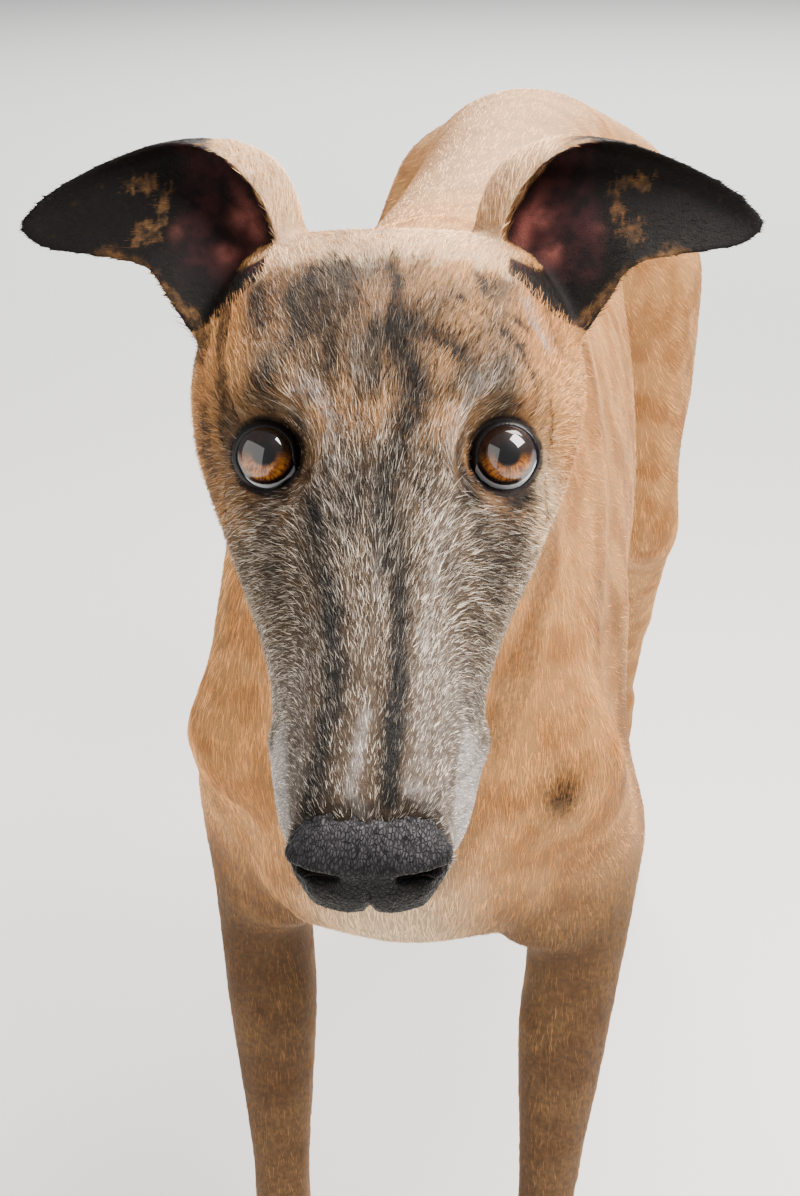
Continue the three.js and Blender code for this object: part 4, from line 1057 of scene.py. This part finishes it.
# Closed surfaces from rings of points
def lofted(rings, closed=False):
    rings = np.asarray(rings)
    rows, sidesOf = rings.shape[:2]
    points = rings.reshape(-1, 3)
    faces = []
    for i in range(rows if closed else rows - 1):
        for j in range(sidesOf):
            here, there = i * sidesOf, (i + 1) % rows * sidesOf
            across = (j + 1) % sidesOf
            faces.append((here + j, here + across, there + across, there + j))
    if not closed:
        ends = np.stack([rings[0].mean(0), rings[-1].mean(0)])
        first, last = len(points), len(points) + 1
        points = np.concatenate([points, ends])
        for j in range(sidesOf):
            across = (j + 1) % sidesOf
            base = (rows - 1) * sidesOf
            faces.append((first, across, j, j))
            faces.append((last, base + j, base + across, base + across))
    return outwards(points, np.array(faces))


def outwards(points, faces):
    triangles = trianglesOf(faces)
    corners = points[triangles] - points.mean(0)
    volume = np.einsum("ij,ij->i", corners[:, 0], np.cross(corners[:, 1], corners[:, 2])).sum()
    if volume >= 0:
        return points, faces
    turnedFaces = faces[:, [0, 3, 2, 1]]
    flat = faces[:, 2] == faces[:, 3]
    turnedFaces[flat] = faces[flat][:, [0, 2, 1, 1]]
    return points, turnedFaces


iris = {"edge": 8.5, "ring": 7.6, "pupil": 3.2, "around": 120, "rings": 72,
        "amber": linear(172, 106, 38), "rust": linear(96, 50, 18), "deep": linear(12, 6, 5),
        "limbus": linear(24, 8, 6), "white": linear(196, 198, 204), "pupilColour": linear(7, 6, 6)}


def makeEyeFinish():
    f = Finish("eye", Roughness=0.5, Specular_IOR_Level=0.1,
               Coat_Weight=1.0, Coat_Roughness=0.01, Coat_IOR=1.7)
    reach = f.attribute("reach")  # mm from the axis
    fibre = f.attribute("fibre", "Vector")
    rays = f.noise(3.4, 4, (1, 1, 0.16), vector=fibre)
    fine = f.noise(9.0, 3, (1, 1, 0.1), vector=fibre)
    colour = f.mix(iris["rust"], iris["amber"], f.between(rays + (fine - 0.5) * 0.5, 0.36, 0.62))
    height = f.attribute("height")  # -1 at the bottom of the iris to 1 at its top
    # the upper part of the iris is painted dark: painted shade of the upper lid
    colour = f.mix(colour, iris["deep"], f.between(height + (rays - 0.5) * 0.4, -0.42, 0.16, (0, 0.98)))
    nearPupil = f.between(reach + rays * 0.6, iris["pupil"] + 1.6, iris["pupil"] + 0.2, (0, 0.7))
    colour = f.mix(colour, iris["deep"], nearPupil)
    colour = f.mix(colour, iris["limbus"], f.between(reach, iris["ring"] - 0.8, iris["ring"] + 0.3))
    rimmed = f.between(reach + (fine - 0.5) * 0.25, iris["edge"], iris["edge"] + 0.35)
    # the white shows on the lower part only; above, it stays dark as painted shade of the upper lid
    colour = f.mix(colour, iris["white"], rimmed * f.between(height, -0.1, -0.4))
    colour = f.mix(colour, iris["pupilColour"], f.between(reach, iris["pupil"] + 0.5, iris["pupil"] - 0.3))
    f.set(Base_Color=colour)
    return f.material


def makeEye(side, finish):
    centre, gaze, outward, top = eyeAxes(side)
    polar = np.radians(np.linspace(0.8, 179, iris["rings"]))
    around = np.linspace(0, 2 * math.pi, iris["around"], endpoint=False)
    low, high = eye["corneaEnds"]
    radius = eye["radius"] + eye["cornea"] * (1 - smoothStep(np.degrees(polar), low, high))
    ring = np.cos(around)[:, None] * outward + np.sin(around)[:, None] * top
    rings = [centre + r * mm * (math.cos(p) * gaze + math.sin(p) * ring) for p, r in zip(polar, radius)]
    points, faces = lofted(rings)
    mesh = meshFrom("eyeball_" + side, points, faces)
    offset = (points - centre) / mm
    across, up = offset @ outward, offset @ top
    reach = np.hypot(across, up)
    reach = np.where(offset @ gaze < 0, 20, reach)
    turn = np.arctan2(up, across)
    addAttribute(mesh, "reach", reach)
    addAttribute(mesh, "height", up / iris["edge"])
    addAttribute(mesh, "fibre", np.stack([np.cos(turn) * 3, np.sin(turn) * 3, reach], 1))
    placed("eyeball_" + side, mesh, finish, ("eye_" + side,))


def makeRimFinish():
    f = Finish("lid_rim", Specular_IOR_Level=0.3)
    skinColour = f.mix(linear(6, 4, 5), linear(34, 26, 25), f.between(f.attribute("outer"), 0.5, 1.0))
    f.set(Base_Color=f.mix(skinColour, linear(22, 16, 16), f.between(f.noise(900, 3), 0.45, 0.7, (0, 0.6))))
    f.set(Roughness=f.between(f.attribute("outer"), 0.0, 0.6, (0.3, 0.6)))
    f.bump(f.noise(1400, 3), 0.0003, 0.5)
    return f.material


def makeRim(side, finish):
    centre, gaze, outward, top = eyeAxes(side)
    around = np.linspace(0, 360, 144, endpoint=False)
    margin = marginAngle(around, side)
    turn = np.radians(around)[:, None]
    sideways = np.cos(turn) * outward + np.sin(turn) * top
    heavier = 1 + 0.35 * np.clip(np.sin(np.radians(around)), 0, 1)
    rings = []
    for past, height in eye["rim"]:
        polar = np.radians(margin) + past * heavier / eye["radius"]
        polar = polar[:, None]
        ring = np.cos(polar) * gaze + np.sin(polar) * sideways
        rings.append(centre + (eye["radius"] + height) * mm * ring)
    points, faces = lofted(rings, closed=True)
    mesh = meshFrom("lid_rim_" + side, points, faces)
    past = np.repeat([row[0] for row in eye["rim"]], len(around))
    addAttribute(mesh, "outer", np.clip(past / 2.6, 0, 1))
    placed("lid_rim_" + side, mesh, finish)


eyeFinish = makeEyeFinish()
rimFinish = makeRimFinish()
for side in sides:
    makeEye(side, eyeFinish)
    makeRim(side, rimFinish)
report("eyes")


# Nose leather: the front of the muzzle, remeshed finely, and sunk under the skin where the hair begins
def makeNoseFinish():
    f = Finish("nose_leather", Specular_IOR_Level=0.1)
    sockets = {"Vector": f.stretched((1, 0.5, 0.5)), "Scale": 1300}
    cells = f.node("TexVoronoi", {"feature": "DISTANCE_TO_EDGE"}, sockets, "Distance")
    creases = f.between(cells, 0.0, 0.22)
    # the creases between the pebbles are painted darker: painted shade
    colour = f.mix(linear(4, 4, 5), linear(11, 11, 12), creases)
    top = f.attribute("top")
    # the top of the leather is grey on the pebbles and dark in the grooves: partly the leather's own grey,
    # partly painted light on the top and painted shade in the grooves
    pebbled = f.between(cells + f.noise(420, 4) * 0.5, 0.15, 0.65, (0.1, 0.85))
    colour = f.mix(colour, linear(72, 70, 73), top * pebbled)
    colour = f.mix(colour, linear(32, 30, 25), f.attribute("lobe") * f.between(cells, 0.0, 0.3) * 0.7)
    colour = f.mix(colour, linear(20, 6, 6), f.attribute("hole"))
    f.set(Base_Color=colour)
    f.set(Roughness=f.between(creases, 0, 1, (0.6, 0.42)))
    f.bump(creases + 0.5 * f.noise(2400, 3), 0.0003, 0.7)
    return f.material


def makeNose():
    at, normal = fromHead((nose["cut"], 0, 0)), headVector((1, 0, 0))
    pieces = [cutBy(swollen(nodeSurface(node), skin["swell"]), at, normal, True)
              for node in ("head", "lower_jaw", "nose")]
    points, faces = remeshed(combined(*pieces), nose["voxel"])
    points, faces = outerPart(points, faces, int((points @ normal).argmax()))
    points = smoothed(points, faces, 24)
    h = toHead(points)
    holes = spot(np.abs(h), nose["solidHole"], (8, 7.5, 7))
    points = smoothedNear(points, faces, 420, smoothStep(holes, 0.1, 0.4))
    normals = normalsOf(points, faces)
    h = toHead(points)
    leather = leatherShare(h)
    rise = headForms(h) - skin["headCoat"] + (nose["proud"] + nose["sunk"]) * mm * leather
    rise = rise - nose["sunk"] * mm
    forms = noseForms(h)
    points = points + normals * (rise + forms * mm * leather)[:, None]
    inside = smoothStep(-forms, 1.5, 4.5)
    mesh = meshFrom("nose_leather", points, faces)
    addAttribute(mesh, "hole", inside)
    # the upper side of the leather, where it turns grey: partly its own grey, partly painted light on the
    # top
    above = h[:, 2] + 0.1 * np.abs(h[:, 1])
    addAttribute(mesh, "top", smoothStep(above, nose["shelf"] - 6, nose["shelf"] + 9))
    lobe = (0, nose["lobe"][0], -nose["lobe"][1])
    addAttribute(mesh, "lobe", spot(np.abs(h * [0, 1, 1]), lobe, (9, 5, 3.4)))
    placed("nose_leather", mesh, makeNoseFinish(), ("nose",))


makeNose()
report("nose")


# Claws: horn cones over the ends of the toes. A row is a ring: its share of the toe's place aside, how far
# it lies behind the toe's reach, its height, and its thickness as a share of the toe's radius
claws = {
    "toes": [(-21, 21, 9.2), (-9.2, 35, 10), (9.2, 35, 10), (21, 21, 9.2)],  # aside, reach and radius in mm
    "rows": [(1, 3, 15.4, 0.40), (1, -2, 15.6, 0.41), (1.01, -8, 14.2, 0.37), (1.01, -12.5, 10.8, 0.28),
             (1.01, -16.4, 6.3, 0.16), (1.01, -17.2, 5.2, 0.06)],
    "around": 14, "narrow": 0.85, "tipLength": 16, "bentFrom": -6,
    "forepaw": (68, 1), "hindpaw": (70, 0.96),  # place of the paw aside in mm, and its size
}


def makeClaws(node, finish):
    kind, side = node.split("_")
    across, size = claws[kind]
    x = middleX + sides[side] * across * mm
    furthest = max(reach for _, reach, _ in claws["toes"])
    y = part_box(node)[0][1] + (furthest * size + claws["tipLength"] * size) * mm
    turn = np.linspace(0, 2 * math.pi, claws["around"], endpoint=False)[:, None]
    surfaces = []
    for toe, reach, radius in claws["toes"]:
        rings = []
        for share, behind, height, thick in claws["rows"]:
            centre = np.array([x + toe * share * mm, y - (reach - behind) * size * mm, height * mm])
            lean = unit(np.array([0, 0.45 if behind < claws["bentFrom"] else 0.1, 1.0]))
            ring = np.cos(turn) * np.array([1, 0, 0]) * claws["narrow"] + np.sin(turn) * lean
            rings.append(centre + ring * radius * thick * mm)
        surfaces.append(lofted(rings))
    points, faces = combined(*surfaces)
    placed("claws_" + node, meshFrom("claws_" + node, points, faces), finish)


def makeHorn():
    f = Finish("horn", Roughness=0.38, Specular_IOR_Level=0.5)
    streaks = f.noise(240, 4, (1, 0.2, 0.4))
    f.set(Base_Color=f.mix(linear(38, 32, 28), linear(92, 78, 64), f.between(streaks, 0.4, 0.7)))
    f.bump(streaks, 0.0004, 0.4)
    return f.material


horn = makeHorn()
for node in pawNodes:
    makeClaws(node, horn)
report("claws")


# Coat: closed spikes, three-sided, that lie along the flow of the hair
def flowOf(points, normals):
    h = toHead(points)
    a, r, u = h.T
    side, sign = np.abs(r), np.sign(r)
    down = smoothStep(side, 13, 26) * smoothStep(-u, -14, 12)
    onMuzzle = smoothStep(a, 26, 60)
    along = -1 + down * (0.35 + 0.25 * onMuzzle)
    outward = sign * (0.12 + 0.3 * smoothStep(side, 2, 20) * (1 - down) + 0.25 * down)
    lower = -0.9 * down + 0.25 * smoothStep(-a, -10, 30) * (1 - down)
    face = np.stack([along, outward, lower], 1)
    for name, turn in sides.items():
        for centre, width, share in (((-0.4, 32.2 * turn, -4.4), 17, 1.5), ((15, 23 * turn, 6), 11, 1.3)):
            offset = h - np.array(centre)
            face += unit(offset) * (share * np.exp(-((offset ** 2).sum(1) / width ** 2)))[:, None]
    ear = (smoothStep(side, 46, 56) * smoothStep(-a, 50, 62) * smoothStep(u, -26, -12))[:, None]
    face = face * (1 - ear) + ear * np.stack([0.15 * np.ones(len(h)), sign, 0.1 * np.ones(len(h))], 1)
    p = toBody(points)
    behind = smoothStep(p[:, 1], 400, 450)
    lowered = 1 - smoothStep(p[:, 2], 360, 450)
    chest = (1 - smoothStep(p[:, 1], -262, -205)) * (1 - smoothStep(p[:, 2], 560, 620))
    flank = smoothStep(np.abs(p[:, 0]), 20, 75)
    fall = np.clip(0.3 + 0.45 * flank + 3.0 * lowered + 2.5 * chest + 2.0 * behind, 0, 4)
    back = 1 - 0.8 * np.clip(lowered + chest, 0, 1)
    paws = 1 - smoothStep(p[:, 2], 26, 48)
    body = np.stack([0 * fall, back - 2.4 * paws, -fall * (1 - 0.7 * paws)], 1)
    onHead = headShare(h)[:, None]
    flow = headVector(unit(face)) * onHead + unit(body) * (1 - onHead)
    flow = flow - normals * (flow * normals).sum(1, keepdims=True)
    return unit(flow)


def scatter(triangles, weight, count, rng):
    corners = skinPoints[triangles]
    area = np.linalg.norm(np.cross(corners[:, 1] - corners[:, 0], corners[:, 2] - corners[:, 0]), axis=1)
    total = np.cumsum(area * weight[triangles].mean(1))
    chosen = np.searchsorted(total, rng.random(count) * total[-1])
    first, second = np.sqrt(rng.random(count)), rng.random(count)
    shares = np.stack([1 - first, first * (1 - second), first * second], 1)[..., None]
    points = (skinPoints[triangles[chosen]] * shares).sum(1)
    return points, unit((skinNormals[triangles[chosen]] * shares).sum(1))


# Unwraps the skin about the line of its own zone: around it and along it
def unwrapped(points, kind):
    h = toHead(points)
    p = toBody(points)
    if kind == "head":
        return np.stack([np.arctan2(h[:, 1], h[:, 2] + 25) / (2 * math.pi) + 0.5, (h[:, 0] + 140) / 290], 1)
    if kind == "ear":
        turn = np.arctan2(h[:, 2] - 22, h[:, 0] + 88) / (2 * math.pi) + 0.5
        return np.stack([turn * 0.5 + 0.5 * (h[:, 1] > 0), (np.abs(h[:, 1]) - 20) / 115], 1)
    if kind == "leg":
        ahead = p[:, 1] - np.where(p[:, 1] < 0, -200, 240)
        turn = np.arctan2(np.abs(p[:, 0]) - 74, ahead) / (2 * math.pi) + 0.5
        quarter = 0.25 * (p[:, 0] > 0) + 0.5 * (p[:, 1] > 60)
        return np.stack([turn * 0.25 + quarter, p[:, 2] / 480], 1)
    return np.stack([np.arctan2(p[:, 0], p[:, 2] - 540) / (2 * math.pi) + 0.5, (p[:, 1] + 460) / 1080], 1)


# Side of the square that a tuft takes in the unwrapped skin
patchSize = 0.003


def growTufts(name, zone, kind):
    rng = np.random.default_rng(zone["seed"])
    points, normals = scatter(zone["triangles"], zone["weight"], zone["count"], rng)
    count = len(points)
    flow = flowOf(points, normals)
    across = np.cross(normals, flow)
    strewn = flow * rng.normal(0, zone["strewn"], (count, 1))
    strewn = strewn + across * rng.normal(0, zone["strewn"] / 3, (count, 1))
    marks = pattern(points + strewn * mm, normals)
    swing = rng.normal(0, zone["swing"], (count, 1))
    flow = unit(flow + across * swing)
    across = np.cross(normals, flow)
    h = toHead(points)
    length = zone["length"]
    length = (length(h, points) if callable(length) else length) * rng.uniform(0.7, 1.25, count)
    width = zone["width"] * rng.uniform(0.7, 1.3, count) * (0.6 + 0.4 * length / length.max())
    lift = np.radians(zone["lift"] * rng.uniform(0.4, 1.7, count))
    bare = pattern(points, normals)["bare"] > 0.6
    reach = (flow * np.cos(lift)[:, None] + normals * np.sin(lift)[:, None]) * (length * mm)[:, None]
    half = across * (width * mm / 2)[:, None]
    root = points - normals * zone["root"] * mm
    keep = ~bare & ((root + reach)[:, 2] > 0.3 * mm)
    ridge = root + normals * (width * mm * 0.45)[:, None] + reach * 0.12
    corners = np.stack([root - half, root + half, ridge, root + reach], 1)[keep]
    count = len(corners)
    base = (np.arange(count) * 4)[:, None, None]
    faces = base + np.array([(0, 1, 3, 3), (0, 3, 2, 2), (1, 2, 3, 3), (0, 2, 1, 1)])[None]
    faces = faces.reshape(-1, 4)[:, [0, 2, 1, 1]]
    mesh = meshFrom(name, corners.reshape(-1, 3), faces, False)
    repeated = {key: np.repeat(values[keep], 4) for key, values in marks.items()}
    addPattern(mesh, repeated)
    addAttribute(mesh, "tone", np.repeat(rng.random(len(keep))[keep], 4))
    # a tuft is darker at its root than at its tip
    ends = np.array([-0.3, -0.3, 0, 0.3])
    own = 0.5 + (rng.random(len(keep))[keep][:, None] - 0.5 + ends) * zone["contrast"]
    addAttribute(mesh, "shade", own.ravel())
    addAttribute(mesh, "onFace", 0.15 + 0.85 * repeated["onHead"])
    forward = np.repeat(0.3 + 0.7 * smoothStep(h[keep, 0], -14, 22), 4)
    addAttribute(mesh, "greying", forward * (0.04 + 0.96 * repeated["onHead"]))
    layer = mesh.uv_layers.new(name="OFBake")
    offsets = np.array([(-0.5, -0.5), (0.5, -0.5), (0, -0.2), (0, 0.5)]) * patchSize
    spots = (np.clip(unwrapped(points[keep], kind), 0.002, 0.998)[:, None] + offsets).reshape(-1, 2)
    layer.data.foreach_set("uv", spots[cornersOf(mesh)].astype(np.float32).ravel())
    placed(name, mesh, coatFinish)
    return len(mesh.polygons)


def faceLength(h, points):
    nearNose = smoothStep(h[:, 0], 20, 118)
    nearEye = np.zeros(len(h))
    for side in sides:
        _, past = pastMargin(points, side)
        nearEye = np.maximum(nearEye, 1 - smoothStep(past, 2, 14))
    return (4.8 - 2.5 * nearNose) * (1 - 0.5 * nearEye)


def legLength(h, points):
    return 3.5 + 3.0 * smoothStep(points[:, 2], 0.06, 0.3)


# The coat of each zone. Width, strewn (how far a marking strays), root (its depth) and length are in mm,
# lift in degrees
coatFields = ("pieces", "count", "width", "lift", "swing", "strewn", "contrast", "root", "length")
coatRows = {
    "face": (3, 47000, 0.32, 5, 0.2, 1.6, 0.8, 0.13, faceLength),
    "ear": (1, 22000, 0.4, 3, 0.2, 1.5, 0.4, 0.14, 1.9),
    "neck": (1, 36000, 0.7, 3, 0.14, 3, 0.35, 0.2, 7.0),
    "trunk": (2, 31000, 0.85, 2.5, 0.12, 4, 0.28, 0.25, 8.5),
    "leg": (1, 35000, 0.7, 3, 0.14, 3, 0.26, 0.2, legLength),
    "tail": (1, 9000, 0.8, 4, 0.14, 3, 0.3, 0.2, 8.0),
}
coats = {name: dict(zip(coatFields, row)) for name, row in coatRows.items()}


def zoneWeights():
    h = toHead(skinPoints)
    p = toBody(skinPoints)
    onHead = skinMarks["onHead"] > 0.5
    ear = (np.abs(h[:, 1]) > 50) & (h[:, 0] < -54) & (h[:, 2] > -20) & onHead
    tail = (p[:, 1] > 452) & (p[:, 2] > 130) & (np.abs(p[:, 0]) < 40)
    leg = (p[:, 2] < 385) & ~tail & ~onHead
    neck = ~onHead & ~leg & (p[:, 1] < -190)
    trunk = ~onHead & ~leg & ~neck & ~tail
    finer = 0.5 + 1.2 * smoothStep(h[:, 0], -60, 80)
    inCup = 1 - 0.75 * skinMarks["cup"] * (skinMarks["bare"] > 0.3)
    return {"face": (onHead & ~ear) * finer * (1 - (skinMarks["leather"] > 0.8)), "ear": ear * inCup,
            "neck": neck * 1.0, "trunk": trunk * 1.0, "leg": leg * (1 + 1.5 * (p[:, 2] < 60)),
            "tail": tail * 1.0}


def makeCoat():
    weights = zoneWeights()
    triangles = trianglesOf(skinFaces)
    total = 0
    for number, (zoneName, zone) in enumerate(coats.items()):
        weight = weights[zoneName].astype(float)
        mine = triangles[weight[triangles].mean(1) > 0]
        for piece in range(zone["pieces"]):
            setup = {**zone, "triangles": mine, "weight": weight, "seed": 100 * number + piece}
            kind = {"face": "head", "ear": "ear", "leg": "leg"}.get(zoneName, "body")
            slot = "ear_skin" if zoneName == "ear" else "coat"
            total += growTufts(f"coat_{zoneName}_{piece + 1}", setup, kind)
        report(f"coat on {zoneName}, {total} faces so far")


makeCoat()


# Studio: pale floor, window and skylight on the dog's left, a pale wall across, a light on the floor behind
studio = {
    "floorSize": 14,
    "floor": linear(222, 221, 216), "world": linear(224, 228, 236), "worldStrength": 0.34,
    "lights": {
        "window": {"from": (0.85, -0.15, 0.95), "power": 52, "size": (0.7, 0.7),
                   "colour": (1.0, 0.96, 0.92)},
        "skylight": {"from": (0.45, 0.85, 1.5), "power": 98, "size": (1.3, 1.3),
                     "colour": (1.0, 0.93, 0.85)},
        "wall": {"from": (-1.0, -1.15, 0.3), "power": 30, "size": (2.3, 2.0), "colour": (1.0, 0.96, 0.9)},
        "back": {"from": (0.3, 5.5, 5.0), "aim": (0, -0.25, -1), "power": 1150, "size": (5.0, 5.0),
                 "colour": (0.97, 0.98, 1.0)},
    },
}


def makeStage():
    size = studio["floorSize"]
    mesh = bpy.data.meshes.new("floor")
    corners = [(-size, -size, 0), (size, -size, 0), (size, size, 0), (-size, size, 0)]
    mesh.from_pydata(corners, [], [(0, 1, 2, 3)])
    floor = linked("floor", mesh)
    finish = Finish("floor", Roughness=0.85, Specular_IOR_Level=0.1, Base_Color=studio["floor"])
    mesh.materials.append(finish.material)
    world = bpy.data.worlds.new("studio")
    bpy.context.scene.world = world
    world.use_nodes = True
    background = world.node_tree.nodes["Background"]
    background.inputs["Color"].default_value = (*studio["world"], 1)
    background.inputs["Strength"].default_value = studio["worldStrength"]
    for name, light in studio["lights"].items():
        data = bpy.data.lights.new(name, "AREA")
        data.shape = "RECTANGLE"
        data.size, data.size_y = light["size"]
        data.energy = light["power"]
        data.color = light["colour"]
        lamp = linked(name, data)
        lamp.location = Vector(eyesMiddle) + Vector(light["from"])
        lamp.rotation_mode = "QUATERNION"
        aim = Vector(light.get("aim", -Vector(light["from"])))
        lamp.rotation_quaternion = aim.to_track_quat("-Z", "Y")


makeStage()
report("stage")
